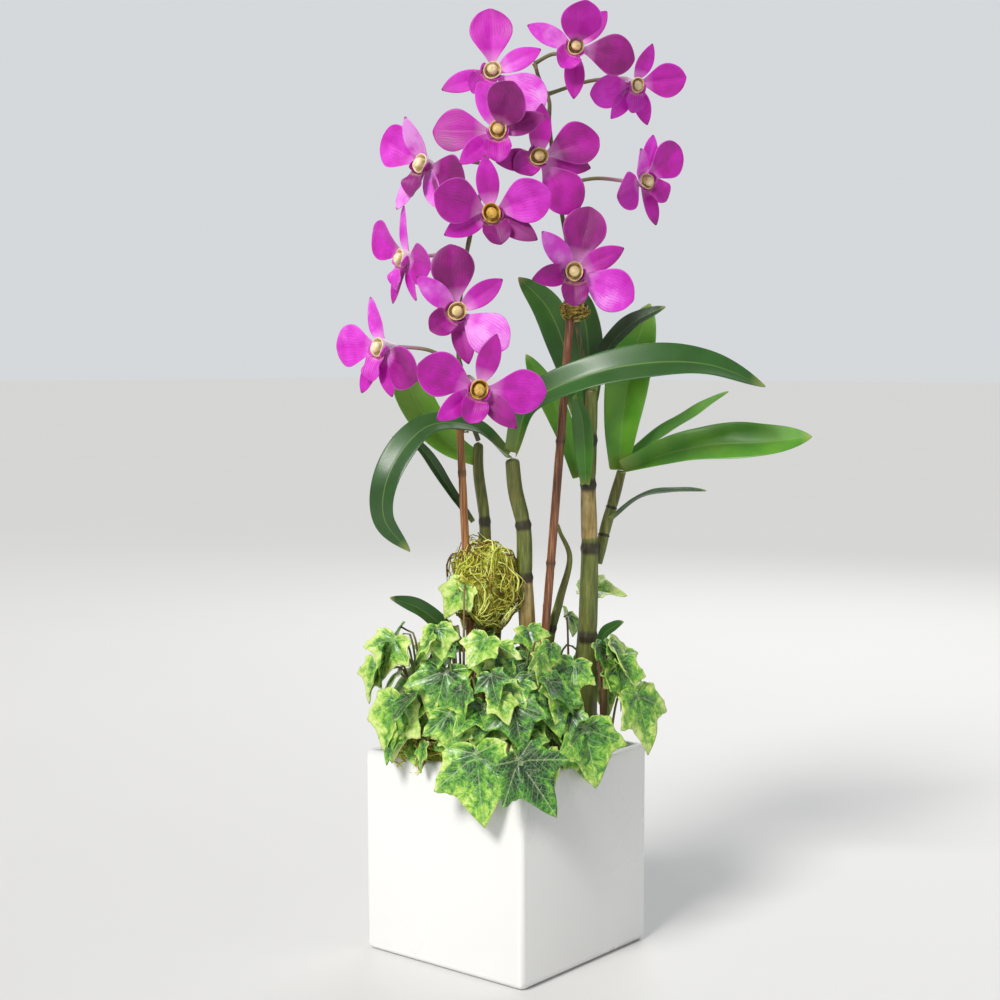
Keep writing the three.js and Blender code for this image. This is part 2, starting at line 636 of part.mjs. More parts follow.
const caneSolids = {};
const caneRoom = {};
Object.entries(CANES).forEach(([name, { route, thick, thin, nodes }]) => {
  const radiusAt = caneRadius(thick, thin, nodes);
  caneSolids[name] = stem(route, radiusAt, FACETS.cane);
  caneRoom[name] = stem(route, (u) => radiusAt(u) + GAP, FACETS.cane);
});
const stakeSolids = {};
const stakeRoom = {};
Object.entries(STAKES).forEach(([name, { foot, top, thick }]) => {
  stakeSolids[name] = stem([foot, top], () => thick, FACETS.stake);
  stakeRoom[name] = stem([foot, top], () => thick + 2 * GAP, FACETS.stake);
});
const spikeSolids = {};
const spikeRoom = {};
Object.entries(SPIKES).forEach(([name, { route }]) => {
  spikeSolids[name] = stem(route, () => SPIKE_RADIUS, FACETS.spike);
  spikeRoom[name] = stem(route, () => SPIKE_RADIUS + GAP, FACETS.spike);
});

orchid.add(part('planter', planter(), COLOURS.planter, 0.25));
orchid.add(part('potting_mix', pottingMix(Object.values(stakeRoom)), COLOURS.soil, 0.95));
// The side growth springs from the right-hand cane, so it ends at that cane's surface.
caneSolids.side_growth = biggest(caneSolids.side_growth.subtract(caneRoom.cane_right));
Object.entries(caneSolids).forEach(([name, cane]) => {
  planting.add(part(name, cane, COLOURS.cane, 0.6));
});
Object.entries(stakeSolids).forEach(([name, stake]) => {
  planting.add(part(name, stake, COLOURS.stake, 0.6));
});
Object.entries(spikeSolids).forEach(([name, spike]) => {
  planting.add(part(name, spike, COLOURS.spike, 0.5));
});

const stemRoom = joined([caneRoom, stakeRoom, spikeRoom].flatMap((rooms) => Object.values(rooms)));
const mossBall = cushion(MOSS.ball).subtract(stemRoom);
planting.add(part('moss_ball', biggest(mossBall), COLOURS.moss, 0.95));
const ivyRoom = Object.values(IVY).map((vine) => ivyVine(vine, GAP));
planting.add(part('moss_patch', biggest(mossPatch(ivyRoom)), COLOURS.moss, 0.95));
Object.entries(TIES).forEach(([name, tie]) => {
  planting.add(part(name, biggest(cushion(tie).subtract(stemRoom)), COLOURS.tie, 0.9));
});

Object.entries(LEAVES).forEach(([name, leaf]) => {
  planting.add(part(name, biggest(orchidLeaf(leaf).subtract(stemRoom)), COLOURS.leaf, 0.4));
});
Object.entries(FLOWERS).forEach(([name, spec]) => {
  planting.add(part(name, biggest(flower(spec).subtract(spikeRoom[spec.spike])), COLOURS.flower, 0.5));
});
Object.entries(IVY).forEach(([name, vine]) => {
  planting.add(part(name, ivyVine(vine), COLOURS.ivy, 0.45));
});

export default orchid;
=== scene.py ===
import bisect
import math
import random

import bmesh
import bpy
from mathutils import Matrix, Vector, noise


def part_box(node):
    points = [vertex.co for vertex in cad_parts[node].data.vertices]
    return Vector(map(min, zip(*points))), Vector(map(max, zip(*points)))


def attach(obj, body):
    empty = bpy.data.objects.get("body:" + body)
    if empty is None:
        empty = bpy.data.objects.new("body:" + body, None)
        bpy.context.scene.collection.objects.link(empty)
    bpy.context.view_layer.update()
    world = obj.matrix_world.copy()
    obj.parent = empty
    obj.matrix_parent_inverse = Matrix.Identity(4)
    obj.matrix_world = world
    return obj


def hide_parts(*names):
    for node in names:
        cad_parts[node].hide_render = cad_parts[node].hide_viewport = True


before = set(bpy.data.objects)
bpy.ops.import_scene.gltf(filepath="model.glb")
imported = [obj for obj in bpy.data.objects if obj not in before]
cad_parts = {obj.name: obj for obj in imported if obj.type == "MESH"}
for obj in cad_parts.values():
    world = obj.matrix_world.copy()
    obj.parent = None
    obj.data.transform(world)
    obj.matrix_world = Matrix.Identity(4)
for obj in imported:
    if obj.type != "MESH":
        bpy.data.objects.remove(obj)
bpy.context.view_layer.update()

# A potted dendrobium orchid: flowers, leaves and canes over ivy and moss, in a white cube planter.
# Places are in millimetres in the planting's own directions (x right, y away from the near corner,
# z up), and plantingTurn turns them to the frame, in metres.
mm = 0.001
plantingTurn = Matrix.Rotation(math.radians(39.4), 4, "Z")
toFrame = plantingTurn @ Matrix.Scale(mm, 4)
bpy.ops.object.select_all(action="DESELECT")
print("frame loaded,", len(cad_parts), "nodes")


# shared helpers: selection, modifiers, curves

def selectOnly(piece):
    bpy.ops.object.select_all(action="DESELECT")
    piece.select_set(True)
    bpy.context.view_layer.objects.active = piece


def applyAll(piece):
    selectOnly(piece)
    for modifier in list(piece.modifiers):
        bpy.ops.object.modifier_apply(modifier=modifier.name)


def finishPiece(piece, name, nodes, materials, smoothAngle=None):
    piece.name = name
    piece.data.name = name
    piece.data.materials.clear()
    for material in materials:
        piece.data.materials.append(material)
    chosen = piece.data.attributes.get("materialIndex")
    if chosen:
        for face in piece.data.polygons:
            face.material_index = round(chosen.data[face.vertices[0]].value)
    selectOnly(piece)
    if smoothAngle is None:
        bpy.ops.object.shade_smooth()
    else:
        bpy.ops.object.shade_smooth_by_angle(angle=math.radians(smoothAngle))
    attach(piece, "root")
    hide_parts(*nodes)


def copyOf(blank, name):
    piece = bpy.data.objects.new(name, blank.data.copy())
    bpy.context.collection.objects.link(piece)
    return piece


def joinPieces(pieces, name):
    bpy.ops.object.select_all(action="DESELECT")
    for piece in pieces:
        piece.select_set(True)
    bpy.context.view_layer.objects.active = pieces[0]
    bpy.ops.object.join()
    pieces[0].name = name
    return pieces[0]


def setAttribute(piece, name, valueAt):
    # a number for each vertex, read by the materials
    attribute = piece.data.attributes.get(name) or piece.data.attributes.new(name, "FLOAT", "POINT")
    attribute.data.foreach_set("value", [valueAt(v.co) for v in piece.data.vertices])


def setMaterialIndex(piece, index):
    # kept on the vertices until the piece is finished, as joining forgets which face had which material
    setAttribute(piece, "materialIndex", lambda co: index)


def smoothPath(points):
    # a curve through the points: gives the place and direction at each fraction of its length
    knots = [Vector(p) for p in points]
    knots = [2 * knots[0] - knots[1]] + knots + [2 * knots[-1] - knots[-2]]
    dense = []
    perSpan = 24
    for i in range(1, len(knots) - 2):
        a, b, c, d = knots[i - 1:i + 3]
        before, span, after = [max((q - p).length, 1e-6) ** 0.5 for p, q in ((a, b), (b, c), (c, d))]
        leave = ((b - a) / before - (c - a) / (before + span) + (c - b) / span) * span
        arrive = ((c - b) / span - (d - b) / (span + after) + (d - c) / after) * span
        for k in range(perSpan + (1 if i == len(knots) - 3 else 0)):
            t = k / perSpan
            square = 3 * (c - b) - 2 * leave - arrive
            cube = 2 * (b - c) + leave + arrive
            dense.append(b + leave * t + square * t * t + cube * t ** 3)
    lengths = [0]
    for p, q in zip(dense, dense[1:]):
        lengths.append(lengths[-1] + (q - p).length)

    def place(u):
        want = min(max(u, 0), 1) * lengths[-1]
        i = min(max(bisect.bisect_right(lengths, want), 1), len(dense) - 1)
        part = (want - lengths[i - 1]) / max(lengths[i] - lengths[i - 1], 1e-9)
        return dense[i - 1].lerp(dense[i], part)

    def pathAt(u):
        along = place(min(u + 0.01, 1)) - place(max(u - 0.01, 0))
        return place(u), along.normalized()

    return pathAt


# node helpers

def newMaterial(name, **inputs):
    material = bpy.data.materials.new(name)
    material.use_nodes = True
    shader = material.node_tree.nodes["Principled BSDF"]
    for key, value in inputs.items():
        shader.inputs[key.replace("_", " ")].default_value = value
    return material, material.node_tree, shader


def addNode(tree, kind, links=None, **settings):
    node = tree.nodes.new("ShaderNode" + kind)
    for key, value in settings.items():
        setattr(node, key, value)
    for socket, source in (links or {}).items():
        target = node.inputs[socket]
        if isinstance(source, (int, float, tuple)):
            target.default_value = source
        else:
            tree.links.new(source, target)
    return node


def mathNode(tree, operation, first, second=None, clamp=False):
    links = {0: first}
    if second is not None:
        links[1] = second
    return addNode(tree, "Math", links, operation=operation, use_clamp=clamp).outputs[0]


def plus(tree, first, second, clamp=False):
    return mathNode(tree, "ADD", first, second, clamp)


def minus(tree, first, second, clamp=False):
    return mathNode(tree, "SUBTRACT", first, second, clamp)


def times(tree, first, second, clamp=False):
    return mathNode(tree, "MULTIPLY", first, second, clamp)


def rampNode(tree, source, stops):
    node = addNode(tree, "ValToRGB", {0: source})
    elements = node.color_ramp.elements
    elements[0].position, elements[0].color = stops[0][0], (*stops[0][1], 1)
    elements[1].position, elements[1].color = stops[-1][0], (*stops[-1][1], 1)
    for position, colour in stops[1:-1]:
        element = elements.new(position)
        element.color = (*colour, 1)
    return node.outputs[0]


def greyRamp(tree, source, stops):
    return rampNode(tree, source, [(position, (value,) * 3) for position, value in stops])


def mixColour(tree, factor, first, second):
    node = tree.nodes.new("ShaderNodeMix")
    node.data_type = "RGBA"
    for index, source in ((0, factor), (6, first), (7, second)):
        if isinstance(source, (int, float)):
            node.inputs[index].default_value = source
        elif isinstance(source, tuple):
            node.inputs[index].default_value = (*source, 1)
        else:
            tree.links.new(source, node.inputs[index])
    return node.outputs[2]


def noiseNode(tree, vector, scale, detail=3.0, roughness=0.55, distortion=0.0):
    links = {"Scale": scale, "Detail": detail, "Roughness": roughness, "Distortion": distortion}
    if vector is not None:
        links["Vector"] = vector
    return addNode(tree, "TexNoise", links).outputs[0]


def attributeNode(tree, name):
    return addNode(tree, "Attribute", attribute_name=name).outputs["Fac"]


def bumpNode(tree, height, strength, distance):
    links = {"Height": height, "Strength": strength, "Distance": distance}
    return addNode(tree, "Bump", links).outputs[0]


def objectPlace(tree):
    return addNode(tree, "TexCoord").outputs["Object"]


def lengthways(tree, place, share):
    # the same place drawn out along z, for streaks along a stem
    return addNode(tree, "Mapping", {"Vector": place, "Scale": (1.0, 1.0, share)}).outputs[0]


def uvParts(tree):
    split = addNode(tree, "SeparateXYZ", {0: addNode(tree, "TexCoord").outputs["UV"]})
    return split.outputs[0], split.outputs[1]


# camera, light and floor, at the frame's origin

view = {"place": (0.694, -0.851, 0.3675), "down": 4.44, "turn": 39.43, "lens": 63.7}
camera = bpy.data.objects.new("camera", bpy.data.cameras.new("camera"))
camera.location = view["place"]
camera.rotation_euler = (math.radians(90 - view["down"]), 0, math.radians(view["turn"]))
camera.data.lens = view["lens"]
camera.data.sensor_width = 36
bpy.context.collection.objects.link(camera)
bpy.context.scene.camera = camera
bpy.context.scene.view_settings.view_transform = "Standard"

studio = {
    "floor": (0.76, 0.755, 0.745), "floorWidth": 60, "sky": (0.93, 0.96, 0.99), "skyLight": 0.42,
    "skySeen": 0.72,
    "sun": ((-0.95, -1.45, 1.75), 2.75, 18, (1.0, 0.98, 0.95)),
    "lamps": {
        "right": ((1.5, -0.9, 0.9), 0.9, 1.0, (0.95, 0.98, 1.0)),
        "behind": ((0.5, 1.5, 1.3), 1.2, 9, (1.0, 1.0, 1.0)),
    },
}


def placeLamp(name, kind, place, energy, colour):
    lamp = bpy.data.objects.new(name, bpy.data.lights.new(name, kind))
    lamp.data.energy = energy
    lamp.data.color = colour
    lamp.location = plantingTurn @ Vector(place)
    aim = Vector((0, 0, 0.28)) - lamp.location
    lamp.rotation_euler = aim.to_track_quat("-Z", "Y").to_euler()
    bpy.context.collection.objects.link(lamp)
    return lamp


place, energy, spread, colour = studio["sun"]
placeLamp("sun", "SUN", place, energy, colour).data.angle = math.radians(spread)
for lampName, (place, size, energy, colour) in studio["lamps"].items():
    placeLamp(lampName, "AREA", place, energy, colour).data.size = size

sky = bpy.data.worlds.new("sky")
sky.use_nodes = True
bpy.context.scene.world = sky
skyTree = sky.node_tree
skyBack = skyTree.nodes["Background"]
skyBack.inputs[0].default_value = (*studio["sky"], 1)
seen = addNode(skyTree, "LightPath").outputs["Is Camera Ray"]
seenPart = times(skyTree, seen, studio["skySeen"] - studio["skyLight"])
skyTree.links.new(plus(skyTree, seenPart, studio["skyLight"]), skyBack.inputs[1])

bpy.ops.mesh.primitive_plane_add(size=studio["floorWidth"])
floor = bpy.context.active_object
floor.name = "floor"
floorPaint, tree, shader = newMaterial("floorPaint", Roughness=0.6)
floorGrain = noiseNode(tree, objectPlace(tree), 3.0, 4)
floorColour = mixColour(tree, floorGrain, studio["floor"], tuple(c * 0.97 for c in studio["floor"]))
tree.links.new(floorColour, shader.inputs["Base Color"])
floor.data.materials.append(floorPaint)
print("camera, light and floor made")


# planter and potting mix

planterShape = {
    "wall": 6.0, "edge": 5.0, "rimOuter": 3.4, "rimInner": 1.8, "depth": 24.0, "segments": 6, "close": 1e-4}
low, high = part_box("planter")
side = high.x - low.x
bpy.ops.mesh.primitive_cube_add(size=side, location=(0, 0, (low.z + high.z) / 2))
planter = bpy.context.active_object
selectOnly(planter)
bpy.ops.object.transform_apply(location=True)
bpy.ops.object.mode_set(mode="EDIT")
bpy.ops.mesh.select_all(action="DESELECT")
pot = bmesh.from_edit_mesh(planter.data)
for face in pot.faces:
    face.select_set(face.normal.z > 0.9)
bmesh.update_edit_mesh(planter.data)
bpy.ops.mesh.inset(thickness=planterShape["wall"] * mm)
bpy.ops.mesh.extrude_region_move(TRANSFORM_OT_translate={"value": (0, 0, -planterShape["depth"] * mm)})
bpy.ops.object.mode_set(mode="OBJECT")
weights = planter.data.attributes.new("bevel_weight_edge", "FLOAT", "EDGE")
for edge in planter.data.edges:
    a, b = [planter.data.vertices[i].co for i in edge.vertices]
    outside = all(
        min(abs(abs(c.x) - side / 2), abs(abs(c.y) - side / 2)) < planterShape["close"] for c in (a, b))
    atRim = all(abs(c.z - high.z) < planterShape["close"] for c in (a, b))
    size = planterShape["edge"]
    if atRim:
        size = planterShape["rimOuter"] if outside else planterShape["rimInner"]
    elif not outside:
        size = planterShape["rimInner"] if abs(a.z - b.z) > planterShape["close"] else 0
    weights.data[edge.index].value = size / planterShape["edge"]
bevel = planter.modifiers.new("bevel", "BEVEL")
bevel.width = planterShape["edge"] * mm
bevel.segments = planterShape["segments"]
bevel.limit_method = "WEIGHT"
bevel.harden_normals = True
applyAll(planter)

glaze, tree, shader = newMaterial("glaze", Roughness=0.3, Coat_Weight=0.35, Coat_Roughness=0.12, IOR=1.5)
place = objectPlace(tree)
pour = noiseNode(tree, place, 14.0, 3)
speck = noiseNode(tree, place, 420.0, 2)
glazeColour = mixColour(tree, pour, (0.84, 0.835, 0.82), (0.79, 0.785, 0.77))
specks = greyRamp(tree, speck, [(0.70, 0.0), (0.78, 1.0)])
glazeColour = mixColour(tree, times(tree, specks, 0.06), glazeColour, (0.55, 0.52, 0.47))
tree.links.new(glazeColour, shader.inputs["Base Color"])
tree.links.new(greyRamp(tree, pour, [(0.3, 0.24), (0.7, 0.36)]), shader.inputs["Roughness"])
ripple = noiseNode(tree, place, 46.0, 2)
tree.links.new(bumpNode(tree, ripple, 0.05, 0.0006), shader.inputs["Normal"])
finishPiece(planter, "glazed_planter", ["planter"], [glaze], 35)
print("planter made")

barkMix = {
    "chips": 420, "size": (3.0, 8.0), "perlite": 60, "perliteShare": 0.45, "seed": 7, "grid": 60,
    "lumps": ((90, 2.2), (300, 0.8)), "below": 2.5, "thick": 6, "clear": 5, "sink": 2.4}
low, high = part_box("potting_mix")
bpy.ops.mesh.primitive_grid_add(
    x_subdivisions=barkMix["grid"], y_subdivisions=barkMix["grid"], size=high.x - low.x)
mixTop = bpy.context.active_object
for v in mixTop.data.vertices:
    lump = sum(noise.noise(v.co * scale) * height for scale, height in barkMix["lumps"])
    v.co.z = high.z - (barkMix["below"] - lump) * mm
solidify = mixTop.modifiers.new("depth", "SOLIDIFY")
solidify.thickness = barkMix["thick"] * mm
solidify.offset = -1
applyAll(mixTop)
bpy.ops.mesh.primitive_cube_add(size=1)
chipBlank = bpy.context.active_object
bpy.ops.object.mode_set(mode="EDIT")
bpy.ops.mesh.bevel(offset=0.16, segments=1)
bpy.ops.object.mode_set(mode="OBJECT")
draw = random.Random(barkMix["seed"])
chips = []
reach = (high.x - low.x) / 2 - barkMix["clear"] * mm
for i in range(barkMix["chips"] + barkMix["perlite"]):
    chip = copyOf(chipBlank, "chip")
    size = draw.uniform(*barkMix["size"]) * (1 if i < barkMix["chips"] else barkMix["perliteShare"]) * mm
    stretch = (size, size * draw.uniform(0.5, 0.9), size * draw.uniform(0.25, 0.5))
    spot = Vector((draw.uniform(-reach, reach), draw.uniform(-reach, reach), high.z))
    spot.z -= draw.uniform(0, barkMix["sink"]) * mm
    turn = Matrix.Rotation(draw.uniform(0, 6.3), 4, "Z") @ Matrix.Rotation(draw.uniform(-0.6, 0.6), 4, "X")
    chip.data.transform(Matrix.Translation(spot) @ turn @ Matrix.Diagonal((*stretch, 1)))
    setMaterialIndex(chip, 0 if i < barkMix["chips"] else 1)
    chips.append(chip)
bpy.data.objects.remove(chipBlank)
bark, tree, shader = newMaterial("bark", Roughness=0.92)
place = objectPlace(tree)
barkTone = rampNode(tree, noiseNode(tree, place, 160.0, 4), [
    (0.3, (0.012, 0.007, 0.004)), (0.5, (0.055, 0.028, 0.014)), (0.72, (0.13, 0.07, 0.035))])
tree.links.new(barkTone, shader.inputs["Base Color"])
tree.links.new(bumpNode(tree, noiseNode(tree, place, 700.0, 4), 0.6, 0.0008), shader.inputs["Normal"])
perlite, tree, shader = newMaterial("perlite", Roughness=0.95)
perliteTone = noiseNode(tree, objectPlace(tree), 900.0, 3)
tree.links.new(
    mixColour(tree, perliteTone, (0.72, 0.70, 0.64), (0.45, 0.42, 0.36)), shader.inputs["Base Color"])
mixPiece = joinPieces([mixTop] + chips, "potting_bark")
finishPiece(mixPiece, "potting_bark", ["potting_mix"], [bark, perlite], 30)
print("potting mix made")


# stems: canes, stakes, spikes

def roundRod(name, sides, rows):
    # a straight closed rod, one long and one in radius, to be laid along a route
    bpy.ops.mesh.primitive_circle_add(vertices=sides, radius=1)
    rod = bpy.context.active_object
    rod.name = name
    screw = rod.modifiers.new("length", "SCREW")
    screw.angle = 0
    screw.screw_offset = 1
    screw.steps = rows
    screw.render_steps = rows
    applyAll(rod)
    bpy.ops.object.mode_set(mode="EDIT")
    bpy.ops.mesh.select_all(action="SELECT")
    bpy.ops.mesh.fill_holes(sides=0)
    bpy.ops.mesh.normals_make_consistent(inside=False)
    bpy.ops.object.mode_set(mode="OBJECT")
    return rod


def layRod(rod, route, radiusAt, marks=None):
    # radiusAt(u, angle) in mm; marks are vertex numbers for the materials, each from u and angle
    pathAt = smoothPath(route)
    flat = [(v.co.z, math.atan2(v.co.y, v.co.x)) for v in rod.data.vertices]
    for key, valueAt in (marks or {}).items():
        attribute = rod.data.attributes.new(key, "FLOAT", "POINT")
        attribute.data.foreach_set("value", [valueAt(u, angle) for u, angle in flat])
    rows = {}
    for v, (u, angle) in zip(rod.data.vertices, flat):
        key = round(u, 5)
        if key not in rows:
            point, along = pathAt(u)
            side = Vector((0.02, -1, 0.01)).cross(along).normalized()
            rows[key] = (point, side, side.cross(along))
        point, side, other = rows[key]
        radius = radiusAt(u, angle)
        v.co = toFrame @ (point + side * (radius * math.cos(angle)) + other * (radius * math.sin(angle)))
    rod.data.flip_normals()  # the side, other and along directions are left-handed


onSoil = 117.4
canes = {
    "cane_right": {
        "route": [(50, 10, onSoil), (51, 10, 193), (52, 10, 249), (51, 10, 290), (52, 10, 319),
            (53, 12, 352)],
        "thick": 7.2, "thin": 3.8, "nodes": [0.33, 0.57, 0.74, 0.86], "tan": [(0.60, 0.73)],
    },
    "cane_middle": {
        "route": [(14, -6, onSoil), (13, -7, 195), (11, -8, 235), (10, -8, 267), (5, -8, 289), (3, -8, 309)],
        "thick": 5.6, "thin": 4.4, "nodes": [0.4, 0.61, 0.78], "tan": [(0.42, 0.60)],
    },
    "cane_left": {
        "route": [(-14, 8, onSoil), (-15, 7, 194), (-14, 7, 232), (-14, 8, 268), (-18, 9, 300),
            (-18, 9, 318)],
        "thick": 4.6, "thin": 3.2, "nodes": [0.38, 0.57, 0.75], "tan": [(0.0, 0.37)],
    },
    "cane_thin": {
        "route": [(-7, 26, onSoil), (-6, 25, 190), (-3, 25, 225), (-1, 25, 243)],
        "thick": 2.4, "thin": 1.8, "nodes": [0.5, 0.8], "tan": [],
    },
    "side_growth": {
        "route": [(57, 17, 241), (60, 20, 252), (63, 22, 264), (68, 24, 281), (73, 26, 299)],
        "thick": 3.6, "thin": 3.2, "nodes": [0.3, 0.6], "tan": [],
    },
    "young_shoot": {
        "route": [(26, 4, onSoil), (26, 2, 190), (33, 0, 220), (39, 0, 247), (33, 0, 262), (31, 0, 268)],
        "thick": 5.0, "thin": 1.2, "nodes": [0.35, 0.55], "tan": [],
    },
    "cut_stub": {
        "route": [(24, -9, onSoil), (24, -9, 170), (24, -8, 219)],
        "thick": 2.2, "thin": 2.0, "nodes": [0.7], "tan": [(0.0, 1.0)],
    },
}


def near(u, places, width):
    return max([0.0] + [1 - abs(u - n) / width for n in places])


def makeCane(name, shape):
    def radiusAt(u, angle):
        body = shape["thick"] + (shape["thin"] - shape["thick"]) * u
        swell = 1 + 0.05 * math.sin(math.pi * min(abs(u - n) for n in shape["nodes"]) * 4)
        ring = 0.14 * near(u, shape["nodes"], 0.012)
        ring -= 0.05 * near(u, [n + 0.02 for n in shape["nodes"]], 0.012)
        rib = 0.035 * math.sin(9 * angle + 3 * u) * min(1, (1 - u) * 8)
        cap = math.sqrt(max(0.02, 1 - max(0, (u - 0.985) / 0.015) ** 2))
        return body * (swell * 0.97 + ring + rib) * cap

    def papery(u, angle):
        inSheath = any(low < u < high for low, high in shape["tan"])
        return 1.0 if inSheath else 0.0

    rod = roundRod(name, 36, 150)
    marks = {
        "along": lambda u, angle: u,
        "band": lambda u, angle: near(u, shape["nodes"], 0.028),
        "papery": papery,
        "turn": lambda u, angle: math.sin(angle * 9 + 3 * u),
    }
    layRod(rod, shape["route"], radiusAt, marks)
    return rod


caneSkin, tree, shader = newMaterial("caneSkin", Roughness=0.5, Coat_Weight=0.1)
place = objectPlace(tree)
stretched = lengthways(tree, place, 0.12)
streak = noiseNode(tree, stretched, 520.0, 4, 0.6)
blotch = noiseNode(tree, place, 60.0, 3)
green = rampNode(
    tree, streak, [(0.28, (0.05, 0.075, 0.012)), (0.5, (0.13, 0.16, 0.03)), (0.75, (0.27, 0.27, 0.07))])
tan = rampNode(
    tree, streak, [(0.28, (0.20, 0.12, 0.035)), (0.5, (0.42, 0.30, 0.10)), (0.75, (0.62, 0.50, 0.24))])
papery = times(tree, attributeNode(tree, "papery"), greyRamp(tree, blotch, [(0.36, 0.25), (0.5, 1.0)]))
skin = mixColour(tree, papery, green, tan)
skin = mixColour(
    tree, times(tree, greyRamp(tree, blotch, [(0.5, 0.0), (0.7, 1.0)]), 0.35), skin, (0.16, 0.09, 0.02))
band = greyRamp(tree, attributeNode(tree, "band"), [(0.25, 0.0), (0.6, 1.0)])
skin = mixColour(tree, times(tree, band, 0.88), skin, (0.022, 0.012, 0.006))
tree.links.new(skin, shader.inputs["Base Color"])
tree.links.new(greyRamp(tree, streak, [(0.3, 0.38), (0.7, 0.62)]), shader.inputs["Roughness"])
tree.links.new(bumpNode(tree, streak, 0.5, 0.0006), shader.inputs["Normal"])

for name, shape in canes.items():
    finishPiece(makeCane(name, shape), name + "_stem", [name], [caneSkin])
print("canes made")

stakes = {
    "stake_left": {"foot": (-16, -14, 20), "top": (-30, -9, 345), "thick": 2.5,
        "nodes": [0.18, 0.43, 0.66, 0.86], "warm": 1.0},
    "stake_right": {"foot": (8, -24, 20), "top": (38.5, -8, 394), "thick": 2.7,
        "nodes": [0.2, 0.41, 0.6, 0.8], "warm": 0.0},
}
bamboo, tree, shader = newMaterial("bamboo", Roughness=0.42, Coat_Weight=0.25, Coat_Roughness=0.3)
place = objectPlace(tree)
grain = noiseNode(tree, lengthways(tree, place, 0.05), 900.0, 4)
redBrown = rampNode(
    tree, grain, [(0.3, (0.07, 0.022, 0.008)), (0.5, (0.20, 0.07, 0.025)), (0.75, (0.42, 0.20, 0.09))])
orangeBrown = rampNode(
    tree, grain, [(0.3, (0.13, 0.045, 0.012)), (0.5, (0.34, 0.13, 0.03)), (0.75, (0.55, 0.28, 0.09))])
skin = mixColour(tree, attributeNode(tree, "warm"), redBrown, orangeBrown)
skin = mixColour(tree, times(tree, attributeNode(tree, "band"), 0.8), skin, (0.03, 0.012, 0.006))
tree.links.new(skin, shader.inputs["Base Color"])
tree.links.new(bumpNode(tree, grain, 0.4, 0.0004), shader.inputs["Normal"])


def makeStake(name, shape):
    def radiusAt(u, angle):
        ring = 0.16 * near(u, shape["nodes"], 0.006)
        ring -= 0.06 * near(u, [n - 0.012 for n in shape["nodes"]], 0.008)
        return shape["thick"] * (0.97 + ring + 0.02 * math.sin(2 * angle + 11 * u))

    foot, top = Vector(shape["foot"]), Vector(shape["top"])
    rod = roundRod(name, 24, 160)
    marks = {"band": lambda u, angle: near(u, shape["nodes"], 0.008), "warm": lambda u, angle: shape["warm"]}
    layRod(rod, [foot, foot.lerp(top, 0.5) + Vector((0.6, 0, 0)), top], radiusAt, marks)
    return rod


for name, shape in stakes.items():
    finishPiece(makeStake(name, shape), name + "_bamboo", [name], [bamboo])
print("stakes made")

spikes = {
    "spike_left": [
        (-18, 9, 319), (-26, 3, 342), (-30, -2, 373), (-29, -2, 406), (-24, 0, 440),
        (-18, 2, 464), (-13, 6, 489), (-9, 10, 517), (-7, 15, 538)],
    "spike_right": [
        (53, 12, 353), (47, 8, 371), (43, 4, 394), (40, 6, 425), (34, 10, 459), (29, 12, 490),
        (26, 14, 518), (26, 14, 529), (20, 14, 542), (17, 14, 552)],
}
spikeRadius = 1.7

# blades: petals, sepals, lips and orchid leaves are flat blanks laid along a rib

def flatBlade(name, rows, columns, halfAt, thickness):
    # u runs 0 to 1 along x, the half width in mm is on y, and the thickness is on z
    bpy.ops.mesh.primitive_grid_add(x_subdivisions=rows, y_subdivisions=columns, size=2, calc_uvs=True)
    blank = bpy.context.active_object
    blank.name = name
    bpy.ops.object.mode_set(mode="EDIT")
    sheet = bmesh.from_edit_mesh(blank.data)
    bpy.ops.mesh.select_mode(type="VERT")
    for row in sorted({round(v.co.x, 5) for v in sheet.verts}):
        bpy.ops.mesh.select_all(action="DESELECT")
        for v in sheet.verts:
            v.select_set(abs(v.co.x - row) < 1e-4)
        bmesh.update_edit_mesh(blank.data)
        bpy.ops.transform.resize(value=(1, halfAt((row + 1) / 2), 1), center_override=(row, 0, 0))
    bpy.ops.mesh.select_all(action="SELECT")
    bpy.ops.transform.resize(value=(0.5, 1, 1), center_override=(-1, 0, 0))
    bpy.ops.transform.translate(value=(1, 0, 0))
    bpy.ops.object.mode_set(mode="OBJECT")
    solidify = blank.modifiers.new("thickness", "SOLIDIFY")
    solidify.thickness = thickness
    solidify.offset = 0
    subdivide = blank.modifiers.new("smooth", "SUBSURF")
    subdivide.levels = subdivide.render_levels = 1
    applyAll(blank)
    blank.data.shade_smooth()
    return blank


def layBlade(piece, ribAt, halfAt, liftAt):
    # each vertex goes to its place on the rib: across it, and off it by the lift and its depth
    ribs = {}
    for v in piece.data.vertices:
        u = min(max(v.co.x, 0), 1)
        key = round(u, 4)
        if key not in ribs:
            point, along, face = ribAt(u)
            ribs[key] = (point, face.cross(along).normalized(), face, max(halfAt(u), 1e-3))
        point, across, face, half = ribs[key]
        t = max(-1.2, min(1.2, v.co.y / half))
        v.co = point + across * v.co.y + face * (liftAt(u, t) * half + v.co.z)


def leafHalf(width):
    return lambda u: width / 2 * max(0.03, (0.42 + 1.6 * u) * (1 - u ** 2.2) ** 0.75 / 0.98)


